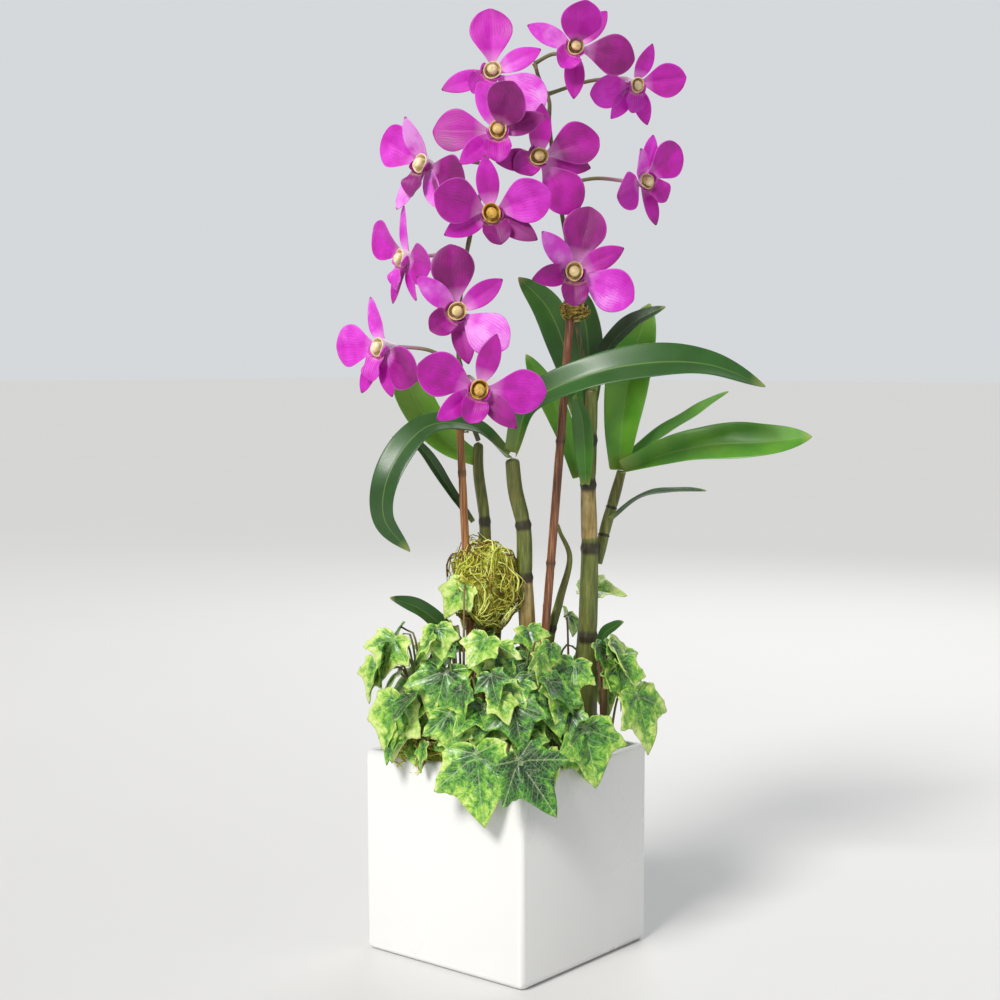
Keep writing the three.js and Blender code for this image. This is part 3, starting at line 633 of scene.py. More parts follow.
leaves = {
    "leaf_left_arching": {
        "rib": [(0, -9, 309), (-20, -22, 328), (-48, -36, 329), (-70, -48, 302), (-73, -50, 275),
            (-58, -48, 255)],
        "base": (0, -0.6, 1), "tip": (-1, -1.6, 0.2), "width": 19, "fold": 0.25, "tone": 0.15},
    "leaf_right_arching": {
        "rib": [(5, -12, 312), (14, -24, 342), (46, -34, 359), (84, -38, 367), (120, -38, 366),
            (155, -34, 353)],
        "base": (-0.6, -1.2, 0.6), "tip": (0.3, -0.9, 0.9), "width": 24, "fold": 0.3, "tone": 0.25},
    "leaf_tall_left": {
        "rib": [(46, 17, 335), (40, 20, 365), (26, 22, 401), (7, 22, 421)],
        "base": (-0.5, -1, 0), "tip": (-0.2, -1, 0.4), "width": 20, "fold": 0.3, "tone": 0.35},
    "leaf_tall_right": {
        "rib": [(50, 24, 330), (52, 26, 365), (48, 30, 400), (40, 34, 420)],
        "base": (0.3, -1, 0), "tip": (0, -1, 0.3), "width": 18, "fold": 0.3, "tone": 0.3},
    "leaf_dark_right": {
        "rib": [(56, 10, 350), (62, 8, 374), (76, 6, 390), (98, 2, 402)],
        "base": (-0.6, -0.6, 0.4), "tip": (-0.3, -0.6, 0.8), "width": 15, "fold": 0.35, "tone": 0.05},
    "leaf_bright_upright": {
        "rib": [(72, 30, 299), (74, 31, 332), (80, 32, 369), (91, 34, 405)],
        "base": (-0.2, -1, 0), "tip": (-0.2, -1, 0.2), "width": 27, "fold": 0.4, "tone": 0.8},
    "leaf_edge_on": {
        "rib": [(76, 34, 303), (93, 40, 317), (119, 44, 333), (143, 45, 349)],
        "base": (-0.5, -0.7, 1), "tip": (-0.5, -0.3, 1), "width": 14, "fold": 0.4, "tone": 0.7},
    "leaf_broad_right": {
        "rib": [(74, 24, 298), (98, 14, 309), (127, 4, 316), (158, -4, 318), (188, -8, 322)],
        "base": (-0.3, -0.7, 0.7), "tip": (0, -0.8, 0.5), "width": 26, "fold": 0.35, "tone": 0.75},
    "leaf_low_right": {
        "rib": [(66, 18, 268), (84, 12, 283), (102, 6, 287), (124, 0, 288)],
        "base": (-0.3, 0, 1), "tip": (0, -0.1, 1), "width": 11, "fold": 0.4, "tone": 0.0},
    "leaf_pale_tip": {
        "rib": [(46, 22, 295), (36, 28, 328), (24, 32, 352), (12, 34, 373)],
        "base": (-0.6, -1, 0), "tip": (-0.2, -1, 0.3), "width": 15, "fold": 0.3, "tone": 0.75},
    "leaf_glossy": {
        "rib": [(49, 1, 292), (48, -4, 314), (46, -9, 334), (41, -14, 348)],
        "base": (-0.2, -1, 0.2), "tip": (-0.5, -0.8, 0.4), "width": 13, "fold": 0.3, "tone": 0.55},
    "leaf_left_pale": {
        "rib": [(-19, 12, 306), (-36, 14, 316), (-52, 14, 334), (-64, 12, 357), (-70, 10, 377)],
        "base": (0, -1, 0.3), "tip": (0.3, -1, 0.2), "width": 22, "fold": 0.3, "tone": 0.9},
    "leaf_left_narrow": {
        "rib": [(-22, 0, 268), (-38, -4, 292), (-51, -8, 312), (-60, -11, 320), (-71, -12, 322)],
        "base": (0.3, -0.6, 0.4), "tip": (0, -0.7, 0.7), "width": 8, "fold": 0.4, "tone": 0.0},
    "leaf_lower_left": {
        "rib": [(-26, -20, 190), (-37, -22, 203), (-52, -29, 217), (-71, -38, 226)],
        "base": (0.5, -0.8, 0.3), "tip": (0.1, -0.7, 0.7), "width": 12, "fold": 0.3, "tone": 0.1},
    "leaf_lower_right": {
        "rib": [(57, 2, 186), (61, -6, 199), (72, -14, 208)],
        "base": (-0.6, -0.8, 0.4), "tip": (-0.2, -0.6, 0.8), "width": 9, "fold": 0.3, "tone": 0.2},
}
leafBlank = flatBlade("leafBlank", 44, 8, leafHalf(20), 0.9)


def makeLeaf(name, shape, seed):
    pathAt = smoothPath(shape["rib"])
    base, tip = Vector(shape["base"]).normalized(), Vector(shape["tip"]).normalized()

    def ribAt(u):
        point, along = pathAt(u)
        face = base.lerp(tip, u)
        face = (face - along * face.dot(along)).normalized()
        return point, along, face

    def liftAt(u, t):
        fold = shape["fold"] + 0.9 * (1 - u) ** 8
        groove = fold * (math.sqrt(t * t + 0.012) - 0.11)
        wave = 0.05 * t * t * math.sin(17 * u + seed * 2.1 + t) * min(1, 4 * (1 - u))
        return groove + wave

    leaf = copyOf(leafBlank, name)
    leaf.data.transform(Matrix.Diagonal((1, shape["width"] / 20, 1, 1)))
    layBlade(leaf, ribAt, leafHalf(shape["width"]), liftAt)
    leaf.data.transform(toFrame)
    setAttribute(leaf, "tone", lambda co: shape["tone"])
    return leaf


leafSkin, tree, shader = newMaterial(
    "leafSkin", Coat_Weight=0.25, Coat_Roughness=0.22, Subsurface_Weight=0.12, Subsurface_Scale=0.002)
shader.inputs["Subsurface Radius"].default_value = (0.4, 1.0, 0.2)
along, across = uvParts(tree)
place = objectPlace(tree)
patch = noiseNode(tree, place, 28.0, 3)
tone = plus(tree, attributeNode(tree, "tone"), times(tree, minus(tree, patch, 0.5), 0.7), True)
green = rampNode(tree, tone, [
    (0.0, (0.006, 0.040, 0.006)), (0.35, (0.015, 0.105, 0.005)), (0.7, (0.065, 0.26, 0.008)),
    (1.0, (0.20, 0.46, 0.03))])
offRib = mathNode(tree, "ABSOLUTE", minus(tree, across, 0.5))
rib = greyRamp(tree, offRib, [(0.008, 1.0), (0.03, 0.0)])
veins = mathNode(tree, "SINE", times(tree, across, 230.0))
veins = times(tree, plus(tree, veins, 1.0), 0.5)
green = mixColour(tree, times(tree, veins, 0.16), green, (0.16, 0.36, 0.05))
green = mixColour(tree, times(tree, rib, 0.30), green, (0.30, 0.46, 0.10))
endFade = greyRamp(tree, along, [(0.0, 0.55), (0.12, 0.0), (0.94, 0.0), (1.0, 0.75)])
green = mixColour(tree, endFade, green, (0.36, 0.42, 0.10))
tree.links.new(green, shader.inputs["Base Color"])
tree.links.new(greyRamp(tree, patch, [(0.3, 0.30), (0.7, 0.46)]), shader.inputs["Roughness"])
relief = minus(tree, times(tree, veins, 0.25), times(tree, rib, 0.8))
tree.links.new(bumpNode(tree, relief, 0.35, 0.0005), shader.inputs["Normal"])

for seed, (name, shape) in enumerate(leaves.items()):
    leaf = makeLeaf(name, shape, seed)
    finishPiece(leaf, name + "_blade", [name], [leafSkin])
bpy.data.objects.remove(leafBlank)
print("orchid leaves made")

# flowers: petals, sepals and lip round a throat with its column, on a pedicel

petal = {"length": 38, "width": 27, "curl": -30, "widest": 0.62, "thick": 0.7, "rows": 18, "columns": 8}
sepal = {"length": 31, "width": 14, "curl": -25, "widest": 0.5, "thick": 0.7, "rows": 14, "columns": 6}
lip = {"length": 22, "width": 17, "curl": -60, "widest": 0.62, "thick": 0.8, "rows": 14, "columns": 10}
sideLobe = {"length": 11, "width": 9, "curl": 35, "widest": 0.55, "thick": 0.7, "rows": 8, "columns": 4}
tepalStart = 2.5
pedicelRadius = 1.2
flowerSeed = 40

# each flower's place, the way it faces in degrees to the right and up, its size and where it joins
# its spike; each tepal is the degrees round from the right, its lean and its tone, 0 dark to 1 pale;
# the tone is partly the tepal's own colour and partly painted light and shade, pale for tepals facing the
# light and dark for those in shade
flowers = {
    "flower_01": {
        "at": (-9, -2, 543), "right": 0, "up": 10, "size": 1, "spike": "spike_left", "on": 0.99,
        "petals": [(92, 12, 0.45), (-36, 18, 0.85)],
        "sepals": [(27, 8, 0.75), (200, 12, 0.55), (262, 20, 0.15)], "lip": (232, 45, 0.6), "gold": 0.25},
    "flower_02": {
        "at": (40, -8, 557), "right": 10, "up": 5, "size": 0.95, "spike": "spike_right", "on": 1,
        "petals": [(-10, 12, 0.1), (86, 64, 0.45)],
        "sepals": [(48, 6, 0.45), (156, 10, 0.8), (268, 12, 0.35)], "lip": (235, 50, 0.6), "gold": 0.5},
    "flower_03": {
        "at": (79, 20, 541), "right": 20, "up": -20, "size": 0.82, "spike": "spike_right", "on": 0.9,
        "petals": [(16, 34, 0.4), (193, 18, 0.55)],
        "sepals": [(78, 20, 0.5), (235, 20, 0.7), (290, 28, 0.45)], "lip": (263, 40, 0.6), "gold": 0.3},
    "flower_04": {
        "at": (-5, -30, 504), "right": -5, "up": 10, "size": 1, "spike": "spike_left", "on": 0.88,
        "petals": [(178, 6, 0.3), (62, 62, 0.05)],
        "sepals": [(10, 34, 0.1), (112, 20, 0.65), (225, 25, 0.55)], "lip": (272, 40, 0.45), "gold": 0.7},
    "flower_05": {
        "at": (-48, -12, 487), "right": -42, "up": 5, "size": 1, "spike": "spike_left", "on": 0.78,
        "petals": [(152, 16, 0.6), (-22, 14, 0.15)],
        "sepals": [(95, 45, 0.98), (238, 20, 0.98), (300, 14, 0.92)], "lip": (262, 40, 0.1), "gold": 0.05},
    "flower_06": {
        "at": (-10, -52, 455), "right": 5, "up": -5, "size": 1, "spike": "spike_left", "on": 0.62,
        "petals": [(162, 34, 0.3), (20, 34, 0.6)],
        "sepals": [(97, 12, 0.5), (205, 28, 0.45), (-30, 28, 0.1)], "lip": (286, 50, 0.05), "gold": 1.0},
    "flower_07": {
        "at": (18, -20, 490), "right": 8, "up": 5, "size": 1, "spike": "spike_right", "on": 0.72,
        "petals": [(20, 8, 0.2), (-54, 8, 0.3)],
        "sepals": [(-9, 4, 0.3), (88, 30, 0.35), (192, 38, 0.15)], "lip": (212, 50, 0.3), "gold": 0.6},
    "flower_08": {
        "at": (40, -26, 422), "right": 0, "up": 0, "size": 1, "spike": "spike_right", "on": 0.38,
        "petals": [(76, 6, 0.1), (-26, 10, 0.75)],
        "sepals": [(25, 10, 0.35), (130, 30, 0.85), (192, 45, 0.3)], "lip": (270, 40, 0.1), "gold": 0.45},
    "flower_09": {
        "at": (-60, -5, 432), "right": -60, "up": -5, "size": 0.95, "spike": "spike_left", "on": 0.5,
        "petals": [(150, 18, 0.45), (-12, 14, 0.35)],
        "sepals": [(88, 8, 0.8), (245, 20, 0.45), (300, 16, 0.6)], "lip": (264, 40, 0.7), "gold": 0.1},
    "flower_10": {
        "at": (-30, -36, 398), "right": 2, "up": 0, "size": 1, "spike": "spike_left", "on": 0.36,
        "petals": [(96, 12, 0.05), (-36, 30, 0.85)],
        "sepals": [(35, 10, 0.45), (140, 25, 0.8), (282, 20, 0.35)], "lip": (216, 45, 0.25), "gold": 0.5},
    "flower_11": {
        "at": (-17, -62, 353), "right": 5, "up": -8, "size": 1, "spike": "spike_left", "on": 0.18,
        "petals": [(158, 20, 0.4), (-4, 10, 0.5)],
        "sepals": [(72, 8, 0.35), (-46, 26, 0.2), (214, 30, 0.45)], "lip": (252, 45, 0.45), "gold": 0.95},
    "flower_12": {
        "at": (-74, -14, 377), "right": -45, "up": 0, "size": 1, "spike": "spike_left", "on": 0.22,
        "petals": [(178, 16, 0.7), (-30, 14, 0.2)],
        "sepals": [(112, 8, 0.8), (240, 16, 0.5), (292, 16, 0.55)], "lip": (266, 40, 0.7), "gold": 0.05},
    "flower_13": {
        "at": (82, 4, 479), "right": 38, "up": -5, "size": 0.88, "spike": "spike_right", "on": 0.62,
        "petals": [(40, 16, 0.35), (200, 30, 0.45)],
        "sepals": [(78, 10, 0.6), (-66, 14, 0.35), (130, 40, 0.8)], "lip": (-35, 45, 0.3), "gold": 0.3},
}


def tepalHalf(kind, clawPower, tipPower, least):
    # a narrow claw, then a blade with a round end
    power = math.log(0.5) / math.log(kind["widest"])

    def halfAt(u):
        swell = math.sin(math.pi * min(max(u, 0), 1) ** power)
        part = max(swell, 0) ** (clawPower if u < kind["widest"] else tipPower)
        return kind["width"] / 2 * max(least if u < kind["widest"] else 0.05, part)

    return halfAt


halves = {
    "petal": tepalHalf(petal, 1.0, 0.58, 0.15),
    "sepal": tepalHalf(sepal, 0.7, 0.72, 0.30),
    "lip": tepalHalf(lip, 0.55, 0.55, 0.45),
    "sideLobe": tepalHalf(sideLobe, 0.6, 0.6, 0.5),
}
kinds = {"petal": petal, "sepal": sepal, "lip": lip, "sideLobe": sideLobe}
blanks = {}
for kindName, kind in kinds.items():
    blanks[kindName] = flatBlade(
        kindName + "Blank", kind["rows"], kind["columns"], halves[kindName], kind["thick"])


def makeTepal(kindName, pose, draw):
    angle, lean, tone = pose
    kind = kinds[kindName]
    out = Vector((math.cos(math.radians(angle)), math.sin(math.radians(angle)), 0))
    forward = Vector((0, 0, 1))
    parts = 40
    point = out * tepalStart
    trail = [point.copy()]
    for i in range(parts):
        pitch = math.radians(lean + kind["curl"] * ((i + 0.5) / parts - 0.3))
        point = point + (out * math.cos(pitch) + forward * math.sin(pitch)) * (kind["length"] / parts)
        trail.append(point.copy())
    twist = draw.uniform(-0.16, 0.16)
    phase = draw.uniform(0, 6.3)
    cup = draw.uniform(0.02, 0.16) if kindName != "lip" else 0.35
    dish = draw.uniform(-0.06, 0.10)
    ruffle = {"petal": 0.09, "sepal": 0.06, "lip": 0.16, "sideLobe": 0.06}[kindName]

    def ribAt(u):
        i = min(int(u * parts), parts - 1)
        place = trail[i].lerp(trail[i + 1], u * parts - i)
        pitch = math.radians(lean + kind["curl"] * (u - 0.3))
        along = out * math.cos(pitch) + forward * math.sin(pitch)
        face = forward * math.cos(pitch) - out * math.sin(pitch)
        face = face + face.cross(along) * (twist * u)
        return place, along, (face - along * face.dot(along)).normalized()

    def liftAt(u, t):
        groove = -0.07 * math.exp(-(t / 0.16) ** 2) * math.sin(math.pi * u)
        fold = (0.55 * (1 - u) ** 3 + cup) * t * t + dish * (1 - t * t) * math.sin(math.pi * u)
        wave = ruffle * t * t * math.sin((13 if kindName == "lip" else 7) * u + phase + 1.5 * t)
        return groove + fold + wave * min(1, 3 * u)

    piece = copyOf(blanks[kindName], kindName)
    layBlade(piece, ribAt, halves[kindName], liftAt)
    # the tone is partly the tepal's own colour and partly painted light and shade
    setAttribute(piece, "tone", lambda co: tone)
    setAttribute(piece, "sepalTip", lambda co: 1.0 if kindName == "sepal" else 0.0)
    setMaterialIndex(piece, 1 if kindName in ("lip", "sideLobe") else 0)
    return piece


# the throat: a cup of rings, back to front outside and then back down inside, with the column in it
throatRings = [
    (0.2, -9.4), (1.5, -9.2), (2.3, -7.0), (3.0, -4.2), (3.9, -1.0), (4.9, 2.2), (5.5, 5.4), (5.6, 7.6),
    (5.3, 8.3),
    (4.8, 8.0), (4.5, 6.8), (4.1, 4.6), (3.5, 2.2), (2.4, 0.8), (0.2, 0.4)]
columnRings = [
    (0.1, 0.2), (2.2, 0.4), (2.5, 3.0), (2.7, 6.4), (3.4, 8.0), (3.5, 9.4), (2.7, 10.5), (1.4, 11.1),
    (0.1, 11.2)]


def ringSolid(name, rings, sides, level):
    bpy.ops.mesh.primitive_circle_add(vertices=sides, radius=rings[0][0], location=(0, 0, rings[0][1]))
    cup = bpy.context.active_object
    cup.name = name
    selectOnly(cup)
    bpy.ops.object.transform_apply(location=True)
    bpy.ops.object.mode_set(mode="EDIT")
    bpy.ops.mesh.select_all(action="SELECT")
    bpy.ops.mesh.edge_face_add()
    for before, after in zip(rings, rings[1:]):
        bpy.ops.mesh.extrude_region_move(TRANSFORM_OT_translate={"value": (0, 0, after[1] - before[1])})
        share = after[0] / before[0]
        bpy.ops.transform.resize(value=(share, share, 1), center_override=(0, 0, 0))
    bpy.ops.mesh.select_all(action="SELECT")
    bpy.ops.mesh.normals_make_consistent(inside=False)
    bpy.ops.object.mode_set(mode="OBJECT")
    subdivide = cup.modifiers.new("smooth", "SUBSURF")
    subdivide.levels = subdivide.render_levels = level
    applyAll(cup)
    return cup


throatBlank = ringSolid("throatBlank", throatRings, 14, 1)


def isInsideCup(co):
    insideRadius = 5.2 * min(1, 0.45 + co.z / 14) + 0.1
    return 1.0 if co.z > 0.3 and co.xy.length < insideRadius else 0.0


setAttribute(throatBlank, "inside", isInsideCup)
columnBlank = ringSolid("columnBlank", columnRings, 10, 1)


def makeThroat(lipAngle, gold, tone):
    # the lower side of the cup runs out into the lip, and the column arches over it
    turn = math.radians(lipAngle)
    away = Vector((math.cos(turn), math.sin(turn), 0))
    cup = copyOf(throatBlank, "throat")
    for v in cup.data.vertices:
        side = v.co.xy.to_3d().dot(away) / 6
        front = min(max(v.co.z / 9, 0), 1)
        lift = -1.6 * max(0, -side) * front + 0.5 * math.sin(5 * side) * front
        v.co += away * (0.9 * side * front) + Vector((0, 0, lift))
    column = copyOf(columnBlank, "column")
    for v in column.data.vertices:
        v.co += -away * 1.3 + away * (0.018 * v.co.z ** 2)
    for piece, isColumn in ((cup, 0.0), (column, 1.0)):
        setAttribute(piece, "isColumn", lambda co: isColumn)
        setAttribute(piece, "forward", lambda co: co.z / 11)
        setAttribute(piece, "gold", lambda co: gold)
        setAttribute(piece, "tone", lambda co: tone)
        setMaterialIndex(piece, 2)
    return [cup, column]


def facingMatrix(shape):
    right, up = math.radians(shape["right"]), math.radians(shape["up"])
    facing = Vector((math.sin(right) * math.cos(up), -math.cos(right) * math.cos(up), math.sin(up)))
    side = Vector((0, 0, 1)).cross(facing).normalized()
    top = facing.cross(side)
    turn = Matrix((side, top, facing)).transposed().to_4x4()
    return Matrix.Translation(shape["at"]) @ turn @ Matrix.Scale(shape["size"], 4)


def makePedicel(shape, matrix):
    root = smoothPath(spikes[shape["spike"]])(shape["on"])[0]
    back, behind = matrix @ Vector((0, 0, -8)), matrix @ Vector((0, 0, -16))
    middle = root.lerp(behind, 0.55) + Vector((0, 0, 3))
    rod = roundRod("pedicel", 10, 26)

    def radiusAt(u, angle):
        return pedicelRadius * (1 + 0.5 * math.exp(-u / 0.08) + 0.35 * math.exp(-(1 - u) / 0.05))

    layRod(rod, [back, behind, middle, root], radiusAt, {"along": lambda u, angle: u})
    setMaterialIndex(rod, 3)
    return rod


def makeFlower(name, shape, seed):
    draw = random.Random(seed)
    lipAngle = shape["lip"][0]
    parts = [makeTepal("petal", pose, draw) for pose in shape["petals"]]
    parts += [makeTepal("sepal", pose, draw) for pose in shape["sepals"]]
    parts.append(makeTepal("lip", shape["lip"], draw))
    for side in (-1, 1):
        parts.append(makeTepal("sideLobe", (lipAngle + side * 62, 58, shape["lip"][2] + 0.1), draw))
    parts += makeThroat(lipAngle, shape["gold"], shape["lip"][2])
    matrix = facingMatrix(shape)
    for part in parts:
        part.data.transform(toFrame @ matrix)
    return joinPieces(parts + [makePedicel(shape, matrix)], name)


# the dark end of these tones is partly painted shade and the pale lilac end partly painted light, besides
# the tepals' own range of magenta
def petalTones(tree, tone):
    return rampNode(tree, tone, [
        (0.0, (0.19, 0.0, 0.13)), (0.25, (0.36, 0.0, 0.27)), (0.5, (0.54, 0.004, 0.45)),
        (0.75, (0.70, 0.05, 0.64)), (1.0, (0.86, 0.34, 0.84))])


petalSkin, tree, shader = newMaterial(
    "petalSkin", Roughness=0.5, Subsurface_Weight=0.35, Subsurface_Scale=0.003, Sheen_Weight=0.08,
    Sheen_Roughness=0.4)
shader.inputs["Subsurface Radius"].default_value = (1.0, 0.25, 0.8)
along, across = uvParts(tree)
place = objectPlace(tree)
# low-frequency cloud noise: painted patches of light and shade across each tepal, mixed with its own uneven
# colour; it also sets the roughness
shadeAndToneCloud = noiseNode(tree, place, 70.0, 3, 0.6)
veinWobble = times(tree, noiseNode(tree, place, 160.0, 2), 0.14)
veins = mathNode(tree, "SINE", times(tree, plus(tree, across, veinWobble), 95.0))
veins = greyRamp(tree, veins, [(0.45, 0.0), (0.95, 1.0)])
# the tepal's tone, partly painted light and shade, shifted by the cloud of painted light and shade
tone = times(tree, minus(tree, shadeAndToneCloud, 0.5), 0.85)
tone = plus(tree, attributeNode(tree, "tone"), tone)
tone = minus(tree, tone, times(tree, veins, 0.10), True)
skin = petalTones(tree, tone)
clawPale = greyRamp(tree, along, [(0.0, 0.85), (0.12, 0.6), (0.34, 0.0)])
skin = mixColour(tree, clawPale, skin, (0.88, 0.48, 0.82))
# a painted highlight along the tepal margins, for light shining through the thin rims
paintedRimHighlight = greyRamp(tree, mathNode(tree, "ABSOLUTE", minus(tree, across, 0.5)), [(0.455, 0.0), (0.495, 0.35)])
skin = mixColour(tree, paintedRimHighlight, skin, (0.80, 0.22, 0.78))
tipBrown = times(tree, greyRamp(tree, along, [(0.95, 0.0), (0.985, 0.9)]), attributeNode(tree, "sepalTip"))
skin = mixColour(tree, tipBrown, skin, (0.045, 0.012, 0.02))
tree.links.new(skin, shader.inputs["Base Color"])
tree.links.new(greyRamp(tree, shadeAndToneCloud, [(0.3, 0.42), (0.7, 0.58)]), shader.inputs["Roughness"])
glint = noiseNode(tree, place, 2400.0, 1)
relief = plus(tree, times(tree, veins, -0.6), times(tree, glint, 0.25))
tree.links.new(bumpNode(tree, relief, 0.3, 0.0004), shader.inputs["Normal"])

lipSkin, tree, shader = newMaterial(
    "lipSkin", Roughness=0.5, Subsurface_Weight=0.3, Subsurface_Scale=0.003, Sheen_Weight=0.2,
    Sheen_Roughness=0.4)
shader.inputs["Subsurface Radius"].default_value = (1.0, 0.25, 0.8)
along, across = uvParts(tree)
place = objectPlace(tree)
# the cloud noise paints patches of light and shade on the lip as well as uneven colour, and the lip's tone
# is partly painted light and shade
shadeAndToneCloud = noiseNode(tree, place, 110.0, 3, 0.6)
rays = mathNode(tree, "SINE", times(tree, across, 75.0))
rays = times(
    tree, greyRamp(tree, rays, [(0.4, 0.0), (0.9, 1.0)]), greyRamp(tree, along, [(0.15, 0.0), (0.4, 1.0)]))
tone = plus(tree, attributeNode(tree, "tone"), times(tree, minus(tree, shadeAndToneCloud, 0.5), 0.7))
tone = minus(tree, tone, times(tree, rays, 0.2), True)
skin = petalTones(tree, tone)
disc = greyRamp(tree, along, [(0.0, 1.0), (0.22, 0.75), (0.42, 0.0)])
skin = mixColour(tree, disc, skin, (0.82, 0.60, 0.30))
tree.links.new(skin, shader.inputs["Base Color"])
tree.links.new(
    bumpNode(tree, plus(tree, rays, noiseNode(tree, place, 1500.0, 2)), 0.35, 0.0005),
    shader.inputs["Normal"])

throatSkin, tree, shader = newMaterial(
    "throatSkin", Roughness=0.45, Subsurface_Weight=0.1, Subsurface_Scale=0.002)
shader.inputs["Subsurface Radius"].default_value = (1.0, 0.6, 0.5)
place = objectPlace(tree)
grain = noiseNode(tree, place, 500.0, 3, 0.6)
forward = attributeNode(tree, "forward")
gold = attributeNode(tree, "gold")
warm = rampNode(
    tree, grain, [(0.3, (0.40, 0.20, 0.02)), (0.55, (0.68, 0.42, 0.06)), (0.8, (0.88, 0.70, 0.24))])
cream = rampNode(
    tree, grain, [(0.3, (0.74, 0.56, 0.30)), (0.55, (0.90, 0.82, 0.52)), (0.8, (0.95, 0.94, 0.76))])
within = mixColour(tree, gold, cream, warm)
outer = mixColour(
    tree, greyRamp(tree, forward, [(0.35, 0.0), (0.8, 1.0)]), (0.86, 0.66, 0.82), (0.84, 0.58, 0.66))
outer = mixColour(tree, 0.25, outer, (0.9, 0.8, 0.86))
skin = mixColour(tree, attributeNode(tree, "inside"), outer, within)
columnTone = mixColour(tree, greyRamp(tree, forward, [(0.1, 0.0), (0.4, 1.0)]), (0.88, 0.66, 0.80), within)
skin = mixColour(tree, attributeNode(tree, "isColumn"), skin, columnTone)
tree.links.new(skin, shader.inputs["Base Color"])
tree.links.new(bumpNode(tree, grain, 0.4, 0.0004), shader.inputs["Normal"])

pedicelSkin, tree, shader = newMaterial(
    "pedicelSkin", Roughness=0.5, Subsurface_Weight=0.2, Subsurface_Scale=0.001)
along = attributeNode(tree, "along")
stripe = noiseNode(tree, objectPlace(tree), 260.0, 3)
skin = rampNode(tree, along, [
    (0.0, (0.74, 0.40, 0.66)), (0.25, (0.46, 0.22, 0.34)), (0.5, (0.17, 0.15, 0.06)),
    (1.0, (0.07, 0.10, 0.025))])
skin = mixColour(tree, times(tree, stripe, 0.5), skin, (0.20, 0.22, 0.06))
tree.links.new(skin, shader.inputs["Base Color"])
tree.links.new(bumpNode(tree, stripe, 0.3, 0.0004), shader.inputs["Normal"])

for seed, (name, shape) in enumerate(flowers.items()):
    flower = makeFlower(name, shape, flowerSeed + seed)
    finishPiece(flower, name + "_bloom", [name], [petalSkin, lipSkin, throatSkin, pedicelSkin])
for blank in list(blanks.values()) + [throatBlank, columnBlank]:
    bpy.data.objects.remove(blank)
print("flowers made")

# spikes, and the raffia and moss bound round the stakes

spikeSkin, tree, shader = newMaterial(
    "spikeSkin", Roughness=0.5, Subsurface_Weight=0.1, Subsurface_Scale=0.001)
place = objectPlace(tree)
streak = noiseNode(tree, lengthways(tree, place, 0.2), 420.0, 3)
skin = rampNode(
    tree, streak, [(0.3, (0.035, 0.05, 0.012)), (0.5, (0.10, 0.13, 0.03)), (0.75, (0.24, 0.22, 0.08))])
purple = times(tree, greyRamp(tree, noiseNode(tree, place, 35.0, 2), [(0.45, 0.0), (0.65, 1.0)]), 0.4)
skin = mixColour(tree, purple, skin, (0.12, 0.03, 0.06))
skin = mixColour(tree, attributeNode(tree, "band"), skin, (0.30, 0.24, 0.10))
tree.links.new(skin, shader.inputs["Base Color"])
tree.links.new(bumpNode(tree, streak, 0.4, 0.0004), shader.inputs["Normal"])

for spikeName, route in spikes.items():
    joints = sorted(shape["on"] for shape in flowers.values() if shape["spike"] == spikeName)
    rod = roundRod(spikeName, 12, 150)

    def radiusAt(u, angle):
        bract = 0.5 * near(u, joints, 0.014) + 0.12 * near(u, [j - 0.06 for j in joints], 0.02)
        return spikeRadius * (0.92 - 0.22 * u) * (1 + bract)

    layRod(rod, route, radiusAt, {"band": lambda u, angle: near(u, [j - 0.01 for j in joints], 0.012)})
    finishPiece(rod, spikeName + "_stem", [spikeName], [spikeSkin])
print("spikes made")


lumpy = {"scale": 1.9, "size": 0.30, "fineScale": 9, "fineSize": 0.12, "shift": 0.1}
strandPoints = 5


def makeTangle(name, shape, draw):
    # fine strands that wander over a lumpy cushion, in mm
    centre, size = Vector(shape["centre"]), Vector(shape["size"])
    strandBlank = roundRod(name + "Strand", 4, 8)
    strands = []
    for i in range(shape["count"]):
        spot = Vector((draw.gauss(0, 1), draw.gauss(0, 1), draw.gauss(0, 1) + shape["raised"])).normalized()
        heading = Vector((draw.gauss(0, 1), draw.gauss(0, 1), draw.gauss(0, 1)))
        depth = draw.uniform(*shape["depth"])
        route = []
        for k in range(strandPoints):
            lump = 1 + lumpy["size"] * noise.noise(spot * lumpy["scale"] + centre * lumpy["shift"])
            route.append(centre + Vector(size[a] * spot[a] * depth * lump for a in range(3)))
            heading += Vector((draw.gauss(0, 1), draw.gauss(0, 1), draw.gauss(0, 1))) * shape["curl"]
            heading = (heading - spot * heading.dot(spot) * 0.8).normalized()
            spot = (spot + heading * shape["step"] / max(size)).normalized()
            depth = min(max(depth + draw.uniform(-0.07, 0.09), shape["depth"][0]), shape["depth"][1])
        if shape.get("floor"):
            route = [Vector((p.x, p.y, max(p.z, shape["floor"]))) for p in route]
        thick = draw.uniform(*shape["thick"])
        strand = copyOf(strandBlank, "strand")
        shade = draw.random()
        layRod(strand, route, lambda u, angle: thick * (1 - 0.6 * u), {"shade": lambda u, angle: shade})
        strands.append(strand)
    bpy.data.objects.remove(strandBlank)
    return strands


